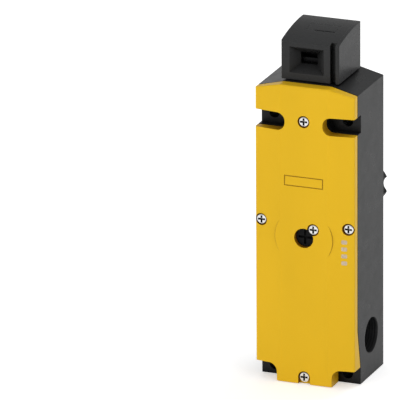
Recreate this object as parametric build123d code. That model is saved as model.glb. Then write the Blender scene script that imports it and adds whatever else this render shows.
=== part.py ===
"""Tongue interlock switch with solenoid locking and a rear escape release, in millimetres.

X runs to the right, Y to the rear and Z up. The origin is the middle of the four fixing
holes, in the rear mounting plane. The model is built with Z as the height above the bottom
edge and Y = 0 at the mounting plane, and is lowered to the origin when it is written.
"""

import os
from math import atan2, cos, hypot, pi, radians, sin, sqrt

from build123d import *

# Enclosure
BODY_WIDTH = 54.0
BODY_DEPTH = 43.5
SIDE_HEIGHT = 156.7
CROWN_HEIGHT = 160.2
CROWN_WIDTH = 26.0
WALL = 3.0
CAVITY_ROUND = 1.5
EDGE_ROUND = 0.8

# Front cover
COVER_WALL = 2.5
COVER_SKIRT = 6.0
SKIRT_FOOT = 9.9
FOOT_RISE = 30.0
FOOT_LEVEL = 10.4
FACET_DROP = 2.0
GASKET_THICK = 0.6
GASKET_INSET = 0.9
GASKET_WIDTH = 1.2
TONGUE_WIDTH = 30.0
FOOT_NOTCH_HEIGHT = 9.4
FOOT_NOTCH_ROUND = 4.5
PAD_RADIUS = 15.6
PAD_BACK = 1.2
RELEASE_BOSS = 7.4
LABEL_WIDTH = 21.2
LABEL_HEIGHT = 5.6
LABEL_Z = 109.4
LABEL_LINE = 0.5
LABEL_DEPTH = 0.25

# Fixing holes and the notches that open them to the front
HOLE_PITCH_X = 40.0
HOLE_PITCH_Z = 136.0
HOLE_FOOT = 5.0
HOLE_RADIUS = 2.75
EAR_ABOVE = 4.15
EAR_BELOW = 5.25
EAR_INNER_X = 10.3
EAR_END_ROUND = 4.3
EAR_FLOOR_DEPTH = 11.0
EAR_RIM = 2.4
FOOT_BLOCK_INNER_X = 13.6

# Cover screws and the seal screw
SCREW_TOP_Z = 141.6
SCREW_BOTTOM_Z = 3.9
SCREW_SIDE_INSET = 3.3
SCREW_SIDE_Z = 86.2
SEAL_X = 5.1
SEAL_RISE = 5.0
SCREW_HEAD_RADIUS = 2.75
SCREW_HEAD_HEIGHT = 1.9
SCREW_SINK = 2.1
SCREW_HEAD_GAP = 0.45
SCREW_RADIUS = 1.5
SCREW_GAP = 0.2
SCREW_SHORT = 0.5
SCREW_CROWN = 0.8
SEAL_LENGTH = 3.6
CROSS_WIDTH = 1.0
CROSS_SPAN = 3.9
CROSS_DEPTH = 1.1
INSERT_RADIUS = 2.2
INSERT_LENGTH = 5.5
INSERT_SINK = 0.3
BOSS_RADIUS = 3.4

# Cable entries
ENTRY_Z = 21.8
ENTRY_DEPTH = 26.0
ENTRY_RADIUS = 9.25
ENTRY_LENGTH = 8.0
ENTRY_BOSS_WALL = 2.6
ENTRY_CHAMFER = 0.3
PLUG_SINK = 0.3
PLUG_GAP = 0.1
PLUG_LENGTH = 6.2
PLUG_HEX = 8.0
PLUG_HEX_DEPTH = 3.0
PLUG_SEAL_WIRE = 1.3
PLUG_SEAL_OFFSET = 2.0

# Actuator head, on the vertical axis that the plunger shares
AXIS_DEPTH = 25.0
HEAD_SIZE = 31.4
HEAD_GAP = 0.3
HEAD_TOP = 185.0
HEAD_FRONT_TOP = 180.7
HEAD_CROWN_START = 14.4
HEAD_EDGE_ROUND = 0.7
NECK_RADIUS = 10.8
NECK_GAP = 0.3
NECK_END = 150.6
NECK_BORE = 5.0
CLIP_THICK = 1.0
CLIP_GAP = 0.3
CLIP_LIP = 1.6
CLIP_GROOVE = 1.0
CLIP_MOUTH = 60.0
NECK_SEAL_Z = 157.0
NECK_SEAL_WIRE = 0.85
NECK_SEAL_GAP = 0.1
CAP_THICK = 1.8
CAP_PEG_RADIUS = 1.5
CAP_PEG_LENGTH = 2.4
GROOVE_WIDTH = 3.0
GROOVE_DEPTH = 3.0

# Tongue entries
ENTRY_CENTRE_X = -1.8
FUNNEL_WIDTH = 18.7
FUNNEL_HEIGHT = 13.8
FUNNEL_DEPTH = 3.9
FUNNEL_Z = 171.0
SLOT_WIDTH = 9.0
SLOT_HEIGHT = 6.0
SLOT_Z = 171.5
TOP_PLUG_X = 0.8
TOP_PLUG_LENGTH = 15.8
TOP_PLUG_WIDTH = 7.4
TOP_PLUG_THICK = 2.6
TOP_PLUG_GAP = 0.15
TOP_PLUG_STUB = 2.0
PRY_START = -2.3
PRY_LENGTH = 10.9
PRY_WIDTH = 0.9
PRY_FLOOR = 2.1
SLOT_BACK = 3.0
CAP_BOSS_GAP = 0.1
PEG_INSET = 3.0

# Rotor
ROTOR_Z = 170.0
ROTOR_RADIUS = 8.6
ROTOR_WIDTH = 9.4
ROTOR_GAP = 0.6
ROTOR_SIDE_GAP = 0.3
ROTOR_POCKET = 3.4
ROTOR_POCKET_FLOOR = 4.2
ROTOR_POCKET_START = 0.8
ROTOR_TURN = 60.0
ROTOR_REST = 7.0
ROTOR_SHOULDER = 220.0
FLANK_STEPS = 6
AXLE_RADIUS = 2.0
RUN_GAP = 0.05
AXLE_GRIP = 3.0

# Plunger and the travel that it shares with the armature
TRAVEL = 3.5
TOUCH_GAP = 0.3
PLUNGER_RADIUS = 3.0
PLUNGER_HEAD_RADIUS = 4.4
PLUNGER_HEAD_THICK = 1.8
ARM_THICK = 2.4
ARM_WIDTH = 7.0
ARM_CLEAR = 0.5
GUIDE_RADIUS = 6.0
GUIDE_TOP = 155.0
SPRING_WIRE = 0.7
COIL_SHIFT = 0.1
PLUNGER_COILS = 3.5
ARMATURE_COILS = 6
CONTACT_COILS = 4.5

# Release spindle, its cam and the stirrup that the cam draws down
RELEASE_Z = 79.2
RELEASE_TURN = 90.0
DISC_RADIUS = 4.9
DISC_THICK = 1.6
DISC_SINK = 2.3
DISC_GAP = 0.3
DISC_SLOT = 1.2
DISC_SLOT_DEPTH = 1.2
DISC_SLOT_END = 1.2
DISC_BACK = 0.2
SPINDLE_RADIUS = 3.0
SPINDLE_END = 6.0
CAM_HUB = 4.6
CAM_THICK = 4.0
CAM_BACK_ANGLE = 75.0
SPINDLE_SEAL_WIRE = 0.8
SPINDLE_SEAL_DEPTH = 5.3
STIRRUP_GAP = 0.5
STIRRUP_LEG = 2.4
STIRRUP_THICK = 5.0
STIRRUP_BAR = 2.3

# Escape release behind the mounting plane
ESCAPE_SHAFT_RADIUS = 4.0
ESCAPE_REACH = 52.5
KNOB_RADIUS = 10.3
KNOB_THICK = 8.0
KNOB_LOBES = 5
KNOB_FLUTE_RADIUS = 4.8
KNOB_FLUTE_DEPTH = 2.9
KNOB_EDGE = 0.8
KNOB_CAP = 4.0
KNOB_HUB_RADIUS = 6.0
KNOB_HUB_LENGTH = 3.0
KNOB_SCREW_RADIUS = 1.5
KNOB_SCREW_HEAD = 2.8
KNOB_SCREW_HEAD_HEIGHT = 1.8
KNOB_SCREW_GRIP = 9.0
SHAFT_SOCKET = 3.8
BUSH_WALL = 2.0
BUSH_FLANGE = 1.6
BUSH_BOSS = 1.0
BUSH_FLANGE_THICK = 1.2

# Solenoid
YOKE_HEIGHT = 26.0
YOKE_PLATE = 2.4
YOKE_SIDE = 1.6
YOKE_SIDE_GAP = 0.5
YOKE_DEPTH = 14.0
YOKE_TAB = 1.2
YOKE_TAB_DROP = 7.0
YOKE_TAB_WIDTH = 5.6
ARMATURE_RADIUS = 5.0
ARMATURE_GAP = 0.4
BOBBIN_WALL = 1.0
BOBBIN_FLANGE = 1.2
BOBBIN_SIDE_GAP = 0.6
WINDING_INSET = 0.8
CORE_GAP = 4.0
CORE_HEIGHT = 5.8
CORE_FIT = 0.05
CORE_STEP = 1.0
ROD_RADIUS = 1.5
ROD_GAP = 0.4
ROD_BITE = 2.0
ARMATURE_BORE = 3.2
ARMATURE_BORE_DEPTH = 7.8
ARMATURE_NECK = 2.0
ARMATURE_NECK_HEIGHT = 3.4
ARM_OVER_YOKE = 0.35
ARMATURE_ARM_THICK = 2.5
YOKE_SCREW_RADIUS = 1.25
YOKE_SCREW_HEAD = 2.3
YOKE_SCREW_HEAD_HEIGHT = 1.4
YOKE_SCREW_GRIP = 4.0
YOKE_POST_RADIUS = 3.1

# Contact blocks, one each side of the solenoid
BLOCK_WIDTH = 8.4
BLOCK_SIDE_GAP = 0.3
BLOCK_BOTTOM = 96.0
BLOCK_SIDE = 1.2
BLOCK_WALL = 2.4
CHAMBER_FLOOR = 100.6
SLIDER_WIDTH = 5.0
SLIDER_DEPTH = 6.0
SLIDER_HEIGHT = 9.0
SLIDER_ROUND = 0.5
STEM_RADIUS = 1.5
BRIDGE_WIDTH = 3.6
BRIDGE_THICK = 0.8
TIP_RADIUS = 1.3
TIP_THICK = 0.5
CONTACT_GAP = 0.1
FIXED_LENGTH = 3.2
FIXED_THICK = 0.8
FIXED_BITE = 1.6
WELL_RADIUS = 2.3
WELL_DEPTH = 3.1
BRIDGE_END_GAP = 0.6
SLIDER_CLEAR = 0.4

# Terminal strip
STRIP_BOTTOM = 40.0
STRIP_HEIGHT = 14.0
STRIP_DEPTH = 22.0
STRIP_CELLS = 6
STRIP_PITCH = 7.0
STRIP_WALL = 1.0
CELL_DEPTH = 7.0
CELL_HEIGHT = 8.0
CLAMP_THICK = 1.2
CLAMP_SIDE_GAP = 0.2
TERMINAL_HEAD_RADIUS = 2.4
TERMINAL_HEAD_HEIGHT = 1.8
TERMINAL_SCREW_RADIUS = 1.3
TERMINAL_SCREW_LENGTH = 6.0

# Worked out from the sizes above
HALF = BODY_WIDTH / 2
AXIS_Y = AXIS_DEPTH - BODY_DEPTH
ENTRY_Y = ENTRY_DEPTH - BODY_DEPTH
HOLE_X = HOLE_PITCH_X / 2
HOLE_TOP = HOLE_FOOT + HOLE_PITCH_Z
ORIGIN_HEIGHT = HOLE_FOOT + HOLE_PITCH_Z / 2
CAVITY_TOP = SIDE_HEIGHT - WALL
CAVITY_HALF = HALF - WALL
FLAT_HALF = CROWN_WIDTH / 2
FACET_SLOPE = FACET_DROP / (HALF - FLAT_HALF)
EAR_LOW = HOLE_TOP - EAR_BELOW
EAR_HIGH = HOLE_TOP + EAR_ABOVE
HEAD_HALF = HEAD_SIZE / 2
HEAD_BOTTOM = CROWN_HEIGHT + HEAD_GAP
HEAD_FRONT_Y = AXIS_Y - HEAD_HALF
ROTOR_K = TRAVEL / radians(ROTOR_TURN)
CAM_K = TRAVEL / radians(RELEASE_TURN)
PLUNGER_TOP = ROTOR_Z - ROTOR_REST - TOUCH_GAP
ARM_TOP = EAR_LOW - EAR_RIM - ARM_CLEAR - TRAVEL
ARM_BOTTOM = ARM_TOP - ARM_THICK
NECK_TOP = ARM_BOTTOM - TOUCH_GAP
ARMATURE_ARM_TOP = NECK_TOP - TOUCH_GAP
ARMATURE_ARM_LOW = ARMATURE_ARM_TOP - ARMATURE_ARM_THICK
YOKE_TOP = ARMATURE_ARM_LOW - TRAVEL - ARM_OVER_YOKE
YOKE_BOTTOM = YOKE_TOP - YOKE_HEIGHT
COIL_LOW = YOKE_BOTTOM + YOKE_PLATE
COIL_HIGH = YOKE_TOP - YOKE_PLATE
CORE_TOP = COIL_LOW + CORE_HEIGHT
ARMATURE_LOW = CORE_TOP + CORE_GAP
ARMATURE_HIGH = NECK_TOP - ARMATURE_NECK_HEIGHT
CAM_REACH = hypot(CAM_HUB + TRAVEL, CAM_K)
STIRRUP_HALF = CAM_REACH + STIRRUP_GAP
BAR_TOP = RELEASE_Z - CAM_HUB - TOUCH_GAP - TRAVEL
WINDOW_TOP = RELEASE_Z + CAM_HUB + STIRRUP_GAP + TRAVEL
BLOCK_X = CAVITY_HALF - BLOCK_SIDE_GAP - BLOCK_WIDTH / 2
YOKE_HALF = BLOCK_X - BLOCK_WIDTH / 2 - YOKE_SIDE_GAP
YOKE_TAB_X = YOKE_HALF - YOKE_TAB_WIDTH / 2
BOBBIN_RADIUS = YOKE_HALF - YOKE_SIDE - BOBBIN_SIDE_GAP
WINDING_RADIUS = BOBBIN_RADIUS - WINDING_INSET
BLOCK_BACK = -WALL
BLOCK_FRONT = 2 * AXIS_Y - BLOCK_BACK
BLOCK_TOP = YOKE_TOP
CHAMBER_TOP = BLOCK_TOP - BLOCK_WALL
SLIDER_LOW = CHAMBER_FLOOR + TRAVEL + SLIDER_CLEAR
BRIDGE_LOW = SLIDER_LOW + SLIDER_HEIGHT / 2 - BRIDGE_THICK / 2
STEM_TOP = ARM_BOTTOM - TOUCH_GAP
SHAFT_FRONT = -SPINDLE_END - SHAFT_SOCKET
BUSH_RADIUS = ESCAPE_SHAFT_RADIUS + BUSH_WALL
COVER_SCREWS = [
    (0, SCREW_TOP_Z),
    (0, SCREW_BOTTOM_Z),
    (SCREW_SIDE_INSET - HALF, SCREW_SIDE_Z),
    (HALF - SCREW_SIDE_INSET, SCREW_SIDE_Z),
]


def depth(distance):
    """The Y of a plane that lies this far behind the front of the cover."""
    return distance - BODY_DEPTH


def box(x0, x1, y0, y1, z0, z1):
    size = Box(abs(x1 - x0), abs(y1 - y0), abs(z1 - z0))
    return Pos((x0 + x1) / 2, (y0 + y1) / 2, (z0 + z1) / 2) * size


def rod_x(radius, x0, x1, y, z):
    return Pos((x0 + x1) / 2, y, z) * Rot(0, 90, 0) * Cylinder(radius, abs(x1 - x0))


def rod_y(radius, y0, y1, x, z):
    return Pos(x, (y0 + y1) / 2, z) * Rot(90, 0, 0) * Cylinder(radius, abs(y1 - y0))


def rod_z(radius, z0, z1, x=0.0, y=AXIS_Y):
    return Pos(x, y, (z0 + z1) / 2) * Cylinder(radius, abs(z1 - z0))


def front_prism(face, y0, y1):
    """A face drawn in X and Z, drawn out from the plane y0 forward to y1."""
    return extrude(Plane.XZ.offset(-y0) * face, amount=y0 - y1)


def side_prism(face, x0, x1):
    """A face drawn in Y and Z, drawn out from the plane x0 to x1."""
    return extrude(Plane.YZ.offset(x0) * face, amount=x1 - x0)


def polygon(points):
    return make_face(Polyline(*points, close=True))


def spring(radius, wire, z0, z1, turns, x=0.0, y=AXIS_Y):
    """A helical compression spring between two heights."""
    length = z1 - z0 - wire
    path = Helix(pitch=length / turns, height=length, radius=radius)
    start = Plane(path @ 0, z_dir=path % 0)
    return Pos(x, y, z0 + wire / 2) * sweep(start * Circle(wire / 2), path=path)


def ring(major, wire):
    return Torus(major, wire)


def write(name, shape):
    export_step(Pos(0, 0, -ORIGIN_HEIGHT) * shape, f"parts/{name}.step")


def outline(inset=0.0):
    """The front view of the enclosure: upright sides, sloping shoulders and a flat crown."""
    face = polygon(
        [
            (-HALF, 0),
            (HALF, 0),
            (HALF, SIDE_HEIGHT),
            (FLAT_HALF, CROWN_HEIGHT),
            (-FLAT_HALF, CROWN_HEIGHT),
            (-HALF, SIDE_HEIGHT),
        ]
    )
    return offset(face, -inset, kind=Kind.INTERSECTION) if inset else face


def parting(shift, far):
    """The side view of all that lies between the parting line, moved back by shift, and far."""
    over = CROWN_HEIGHT + WALL
    return polygon(
        [
            (far, -WALL),
            (far, over),
            (depth(COVER_SKIRT) + shift, over),
            (depth(COVER_SKIRT) + shift, FOOT_RISE),
            (depth(SKIRT_FOOT) + shift, FOOT_LEVEL),
            (depth(SKIRT_FOOT) + shift, -WALL),
        ]
    )


def behind_parting(shift):
    return side_prism(parting(shift, 1.0), -BODY_WIDTH, BODY_WIDTH)


def before_parting():
    return side_prism(parting(0, -BODY_DEPTH - 1), -BODY_WIDTH, BODY_WIDTH)


def ear_face(grow=0.0, side=1):
    """An upper fixing notch in front view: open at the side, round at its inner end."""
    low, high = EAR_LOW - grow, EAR_HIGH + grow
    inner = EAR_INNER_X - grow
    face = Pos((inner + BODY_WIDTH) / 2, (low + high) / 2) * Rectangle(BODY_WIDTH - inner, high - low)
    ends = face.vertices().sort_by(Axis.X)[:2]
    face = fillet(ends, EAR_END_ROUND)
    return face if side > 0 else mirror(face, Plane.YZ)


# Housing


def parting_y(z):
    """The Y of the cover's rear edge at a height: upright, but set back at the foot."""
    share = (FOOT_RISE - z) / (FOOT_RISE - FOOT_LEVEL)
    return depth(COVER_SKIRT + (SKIRT_FOOT - COVER_SKIRT) * min(1.0, max(0.0, share)))


def tab_screw_z():
    return YOKE_BOTTOM - YOKE_TAB_DROP + YOKE_TAB_WIDTH / 2


def make_housing():
    front = -BODY_DEPTH
    envelope = front_prism(outline(), 0, front) & behind_parting(GASKET_THICK)
    cavity = RectangleRounded(2 * CAVITY_HALF, CAVITY_TOP - WALL, CAVITY_ROUND)
    shell = envelope - front_prism(Pos(0, (WALL + CAVITY_TOP) / 2) * cavity, -WALL, front)
    entry_boss = ENTRY_RADIUS + ENTRY_BOSS_WALL
    blocks = [rod_z(entry_boss, 0, ENTRY_LENGTH, 0, ENTRY_Y)]
    for side in (-1, 1):
        blocks.append(front_prism(ear_face(EAR_RIM, side), 0, front))
        blocks.append(box(side * FOOT_BLOCK_INNER_X, side * HALF, 0, front, 0, FOOT_NOTCH_HEIGHT))
        blocks.append(rod_x(entry_boss, side * HALF, side * (HALF - ENTRY_LENGTH), ENTRY_Y, ENTRY_Z))
        post_end = AXIS_Y + YOKE_DEPTH / 2
        blocks.append(rod_y(YOKE_POST_RADIUS, 0, post_end, side * YOKE_TAB_X, tab_screw_z()))
    for x, z in COVER_SCREWS:
        blocks.append(rod_y(BOSS_RADIUS, parting_y(z) + INSERT_LENGTH + WALL, front, x, z))
    # A bridge between the ear blocks carries the boss of the top screw, clear of the plunger
    bridge_back = parting_y(SCREW_TOP_Z) + INSERT_LENGTH + WALL
    low, high = SCREW_TOP_Z - BOSS_RADIUS, SCREW_TOP_Z + BOSS_RADIUS
    blocks.append(box(-EAR_INNER_X, EAR_INNER_X, bridge_back, front, low, high))
    blocks.append(rod_y(BUSH_RADIUS + BUSH_FLANGE, 0, -WALL - BUSH_BOSS, 0, RELEASE_Z))
    body = shell + [block & envelope for block in blocks]
    cuts = [rod_z(ENTRY_RADIUS, -1, ENTRY_LENGTH + 1, 0, ENTRY_Y)]
    cuts.append(rod_z(NECK_RADIUS + NECK_GAP, CAVITY_TOP - 1, CROWN_HEIGHT + 1))
    for side in (-1, 1):
        cuts.append(front_prism(ear_face(0, side), depth(EAR_FLOOR_DEPTH), front))
        inner = HALF - ENTRY_LENGTH - 1
        cuts.append(rod_x(ENTRY_RADIUS, side * (HALF + 1), side * inner, ENTRY_Y, ENTRY_Z))
        mouth = Cone(ENTRY_RADIUS, ENTRY_RADIUS + ENTRY_CHAMFER, ENTRY_CHAMFER)
        cuts.append(Pos(side * (HALF - ENTRY_CHAMFER / 2), ENTRY_Y, ENTRY_Z) * Rot(0, side * 90, 0) * mouth)
        cuts.append(rod_y(YOKE_SCREW_RADIUS, -WALL, AXIS_Y, side * YOKE_TAB_X, tab_screw_z()))
        for z in (HOLE_FOOT, HOLE_TOP):
            cuts.append(rod_y(HOLE_RADIUS, 1, front, side * HOLE_X, z))
    for x, z in COVER_SCREWS:
        cuts.append(rod_y(INSERT_RADIUS, parting_y(z) + GASKET_THICK + INSERT_LENGTH, front, x, z))
    cuts.append(rod_y(BUSH_RADIUS, 1, -WALL - BUSH_BOSS - 1, 0, RELEASE_Z))
    return body - cuts


def make_inserts():
    tubes = []
    for x, z in COVER_SCREWS:
        start = parting_y(z) + GASKET_THICK + INSERT_SINK
        tube = rod_y(INSERT_RADIUS, start, start + INSERT_LENGTH - INSERT_SINK, x, z)
        tubes.append(tube - rod_y(SCREW_RADIUS, start - 1, start + INSERT_LENGTH + 1, x, z))
    return Compound(tubes)


def footprint():
    """The front view of the cover: the enclosure's outline less its fixing notches."""
    face = outline() - ear_face(0, 1) - ear_face(0, -1)
    for side in (-1, 1):
        face -= foot_notch(side)
    return face


def foot_notch(side):
    """A lower corner notch, with a rounded inner corner."""
    inner = TONGUE_WIDTH / 2
    low = -FOOT_NOTCH_HEIGHT
    face = Pos((inner + BODY_WIDTH) / 2, (FOOT_NOTCH_HEIGHT + low) / 2) * Rectangle(
        BODY_WIDTH - inner, FOOT_NOTCH_HEIGHT - low
    )
    corner = face.vertices().sort_by(Axis.X)[:2].sort_by(Axis.Y)[-1]
    face = fillet(corner, FOOT_NOTCH_ROUND)
    return face if side > 0 else mirror(face, Plane.YZ)


def make_gasket():
    outer = offset(footprint(), -GASKET_INSET)
    inner = offset(footprint(), -GASKET_INSET - GASKET_WIDTH)
    band = front_prism(outer - inner, 0, -BODY_DEPTH)
    band &= behind_parting(0) - behind_parting(GASKET_THICK)
    return band - [rod_y(SCREW_RADIUS + SCREW_GAP, 0, -BODY_DEPTH, x, z) for x, z in COVER_SCREWS]


# Front cover


def surface_depth(x):
    """How far the side facets have fallen back at a distance from the middle."""
    return max(0.0, abs(x) - FLAT_HALF) * FACET_SLOPE


def cover_plan(inset):
    """The plan view of the cover: a flat middle band and two facets that fall back."""
    edge = HALF - inset
    drop = depth(surface_depth(HALF) + inset)
    return polygon(
        [
            (-edge, 0),
            (-edge, drop),
            (-FLAT_HALF, depth(inset)),
            (FLAT_HALF, depth(inset)),
            (edge, drop),
            (edge, 0),
        ]
    )


def make_cover():
    plan = Pos(0, 0, -1) * extrude(cover_plan(0), amount=CROWN_HEIGHT + 2)
    envelope = front_prism(outline(), 0, -BODY_DEPTH - 1) & plan & before_parting()
    rim = envelope.edges().filter_by(lambda e: e.center().Y < depth(FACET_DROP) + EDGE_ROUND)
    rounded = fillet(rim, EDGE_ROUND)
    hollow_low = FOOT_NOTCH_HEIGHT + EAR_RIM
    hollow_high = SIDE_HEIGHT - COVER_WALL
    hollow = Pos(0, 0, hollow_low) * extrude(cover_plan(COVER_WALL), amount=hollow_high - hollow_low)
    inner = [rod_y(BOSS_RADIUS, 0, -BODY_DEPTH, x, z) for x, z in COVER_SCREWS]
    inner += [rod_y(BOSS_RADIUS, 0, -BODY_DEPTH, SEAL_X, RELEASE_Z + SEAL_RISE)]
    inner += [rod_y(RELEASE_BOSS, 0, -BODY_DEPTH, 0, RELEASE_Z)]
    inner += [front_prism(ear_face(EAR_RIM, side), 0, -BODY_DEPTH) for side in (-1, 1)]
    cover = rounded - hollow + [boss & rounded for boss in inner]
    # The pad stands level with the flat band, so only its sides rise out of the facets
    pad = rod_y(PAD_RADIUS, depth(COVER_WALL), depth(0), 0, RELEASE_Z)
    cover = cover + (pad - rod_y(PAD_RADIUS + 1, 0, depth(PAD_BACK), 0, RELEASE_Z))
    cuts = [front_prism(ear_face(0, side), 0, -BODY_DEPTH - 1) for side in (-1, 1)]
    cuts += [front_prism(foot_notch(side), 0, -BODY_DEPTH - 1) for side in (-1, 1)]
    recess = SCREW_HEAD_RADIUS + SCREW_HEAD_GAP
    for x, z in COVER_SCREWS:
        floor = surface_depth(x) + SCREW_SINK
        cuts.append(rod_y(recess, depth(floor), depth(-1), x, z))
        cuts.append(rod_y(SCREW_RADIUS + SCREW_GAP, 0, depth(-1), x, z))
    cuts.append(box(-recess, recess, depth(SCREW_SINK), depth(-1), -1, SCREW_BOTTOM_Z))
    seal_z = RELEASE_Z + SEAL_RISE
    cuts.append(rod_y(recess, depth(SCREW_SINK), depth(-1), SEAL_X, seal_z))
    cuts.append(rod_y(SCREW_RADIUS, depth(SCREW_SINK + SEAL_LENGTH), depth(-1), SEAL_X, seal_z))
    disc_back = depth(DISC_SINK + DISC_THICK + DISC_BACK)
    cuts.append(rod_y(DISC_RADIUS + DISC_GAP, disc_back, depth(-1), 0, RELEASE_Z))
    cuts.append(rod_y(SPINDLE_RADIUS + RUN_GAP, 0, depth(-1), 0, RELEASE_Z))
    field = Rectangle(LABEL_WIDTH - 2 * LABEL_LINE, LABEL_HEIGHT - 2 * LABEL_LINE)
    frame = Rectangle(LABEL_WIDTH, LABEL_HEIGHT) - field
    cuts.append(front_prism(Pos(0, LABEL_Z) * frame, depth(LABEL_DEPTH), depth(-1)))
    return cover - cuts


def cross(x, z, y0, y1):
    """The cross recess of a screw, between two planes."""
    long, short = CROSS_SPAN / 2, CROSS_WIDTH / 2
    level = box(x - long, x + long, y0, y1, z - short, z + short)
    return level + box(x - short, x + short, y0, y1, z - long, z + long)


def screw(x, z, underside, end):
    """A pan-head screw with a cross recess, its head towards the front."""
    head_y = depth(underside - SCREW_HEAD_HEIGHT)
    head = rod_y(SCREW_HEAD_RADIUS, depth(underside), head_y, x, z)
    head = fillet(head.edges().sort_by(Axis.Y)[0], SCREW_CROWN)
    head -= cross(x, z, head_y - 1, head_y + CROSS_DEPTH)
    return head + rod_y(SCREW_RADIUS, depth(underside), end, x, z)


def make_cover_screws():
    made = []
    for x, z in COVER_SCREWS:
        end = parting_y(z) + GASKET_THICK + INSERT_LENGTH - SCREW_SHORT
        made.append(screw(x, z, surface_depth(x) + SCREW_SINK, end))
    return Compound(made)


def make_seal_screw():
    return screw(SEAL_X, RELEASE_Z + SEAL_RISE, SCREW_SINK, depth(SCREW_SINK + SEAL_LENGTH - SCREW_SHORT))


# Cable entry plugs


def make_plug():
    """A flush plug along Z with its outer face down at Z = 0."""
    plug = Pos(0, 0, PLUG_LENGTH / 2) * Cylinder(ENTRY_RADIUS - PLUG_GAP, PLUG_LENGTH)
    hexagon = RegularPolygon(PLUG_HEX / 2, 6, major_radius=False)
    plug -= extrude(hexagon, amount=PLUG_HEX_DEPTH)
    groove = ENTRY_RADIUS - PLUG_GAP - PLUG_SEAL_WIRE
    band = Cylinder(ENTRY_RADIUS + 1, PLUG_SEAL_WIRE) - Cylinder(groove, PLUG_SEAL_WIRE)
    return plug - Pos(0, 0, PLUG_SEAL_OFFSET) * band


def make_plug_seal():
    wire = PLUG_SEAL_WIRE / 2
    return Pos(0, 0, PLUG_SEAL_OFFSET) * ring(ENTRY_RADIUS - PLUG_GAP - wire, wire)


def at_left_entry(shape):
    return Pos(-HALF + PLUG_SINK, ENTRY_Y, ENTRY_Z) * Rot(0, 90, 0) * shape


def at_bottom_entry(shape):
    return Pos(0, ENTRY_Y, PLUG_SINK) * shape


# Actuator head


def head_side():
    """The side view of the head: upright behind, with a top that rounds down to the front."""
    rear = AXIS_Y + HEAD_HALF
    start = (AXIS_Y + HEAD_CROWN_START, HEAD_TOP)
    end = (HEAD_FRONT_Y, HEAD_FRONT_TOP)
    crown = TangentArc(start, end, tangent=(-1, 0))
    rest = Polyline(end, (HEAD_FRONT_Y, HEAD_BOTTOM), (rear, HEAD_BOTTOM), (rear, HEAD_TOP), start)
    return make_face(Curve() + [crown, rest])


def cap_inner_x():
    return HEAD_HALF - CAP_THICK


def top_slot_y():
    """The second entry meets the rotor as the first one does, a quarter turn on."""
    return AXIS_Y + SLOT_Z - ROTOR_Z


def neck_bore():
    return rod_z(NECK_BORE, NECK_END - 1, PLUNGER_TOP + TRAVEL + TOUCH_GAP + PLUNGER_HEAD_THICK)


def rotor_well(gap):
    """The round chamber of the rotor, open to the right, where the side cap closes it."""
    left = ENTRY_CENTRE_X - ROTOR_WIDTH / 2 - ROTOR_SIDE_GAP
    return rod_x(ROTOR_RADIUS + ROTOR_GAP - gap, left, cap_inner_x(), AXIS_Y, ROTOR_Z)


def make_head():
    body = side_prism(head_side(), -HEAD_HALF, cap_inner_x())
    upright = body.edges().filter_by(Axis.Z).filter_by(lambda e: e.center().X < 0)
    body = fillet(upright, HEAD_EDGE_ROUND)
    body += rod_z(NECK_RADIUS, NECK_END, HEAD_BOTTOM)
    throat_y = HEAD_FRONT_Y + FUNNEL_DEPTH
    mouth = Pos(ENTRY_CENTRE_X, FUNNEL_Z) * Rectangle(FUNNEL_WIDTH, FUNNEL_HEIGHT)
    throat = Pos(ENTRY_CENTRE_X, SLOT_Z) * Rectangle(SLOT_WIDTH, SLOT_HEIGHT)
    body -= loft([Plane.XZ.offset(-HEAD_FRONT_Y) * mouth, Plane.XZ.offset(-throat_y) * throat])
    left, right = ENTRY_CENTRE_X - SLOT_WIDTH / 2, ENTRY_CENTRE_X + SLOT_WIDTH / 2
    body -= box(left, right, throat_y, AXIS_Y, SLOT_Z - SLOT_HEIGHT / 2, SLOT_Z + SLOT_HEIGHT / 2)
    slot_y = top_slot_y()
    body -= box(left, right, slot_y - SLOT_HEIGHT / 2, slot_y + SLOT_HEIGHT / 2, ROTOR_Z, HEAD_TOP)
    body -= box(*top_plug_x(0), *top_plug_y(0), HEAD_TOP - TOP_PLUG_THICK, HEAD_TOP + 1)
    # A slot along the plug's front edge, to pry it out
    pry_y = top_plug_y(0)[0]
    body -= box(PRY_START, PRY_START + PRY_LENGTH, pry_y - PRY_WIDTH, pry_y, HEAD_TOP - PRY_FLOOR, HEAD_TOP)
    body -= rotor_well(0)
    body -= neck_bore()
    body -= rod_z(GUIDE_RADIUS, NECK_END - 1, GUIDE_TOP)
    groove_y = HEAD_FRONT_Y + GROOVE_DEPTH
    groove_x = cap_inner_x() - GROOVE_WIDTH
    body -= box(groove_x, HEAD_SIZE, HEAD_FRONT_Y - 1, groove_y, HEAD_BOTTOM, HEAD_TOP)
    clip_top = CAVITY_TOP - CLIP_GAP
    clip_band = rod_z(NECK_RADIUS + 1, clip_top - CLIP_THICK, clip_top)
    body -= clip_band - rod_z(NECK_RADIUS - CLIP_GROOVE, 0, HEAD_TOP)
    seal_floor = neck_seal_major() - NECK_SEAL_WIRE
    band = rod_z(NECK_RADIUS + 1, NECK_SEAL_Z - NECK_SEAL_WIRE, NECK_SEAL_Z + NECK_SEAL_WIRE)
    body -= band - rod_z(seal_floor, 0, HEAD_TOP)
    body -= axle(ENTRY_CENTRE_X - ROTOR_WIDTH / 2 - ROTOR_SIDE_GAP - AXLE_GRIP)
    return body - cap_pegs()


def top_plug_x(gap):
    return TOP_PLUG_X - TOP_PLUG_LENGTH / 2 + gap, TOP_PLUG_X + TOP_PLUG_LENGTH / 2 - gap


def top_plug_y(gap):
    return top_slot_y() - TOP_PLUG_WIDTH / 2 + gap, top_slot_y() + TOP_PLUG_WIDTH / 2 - gap


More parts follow.
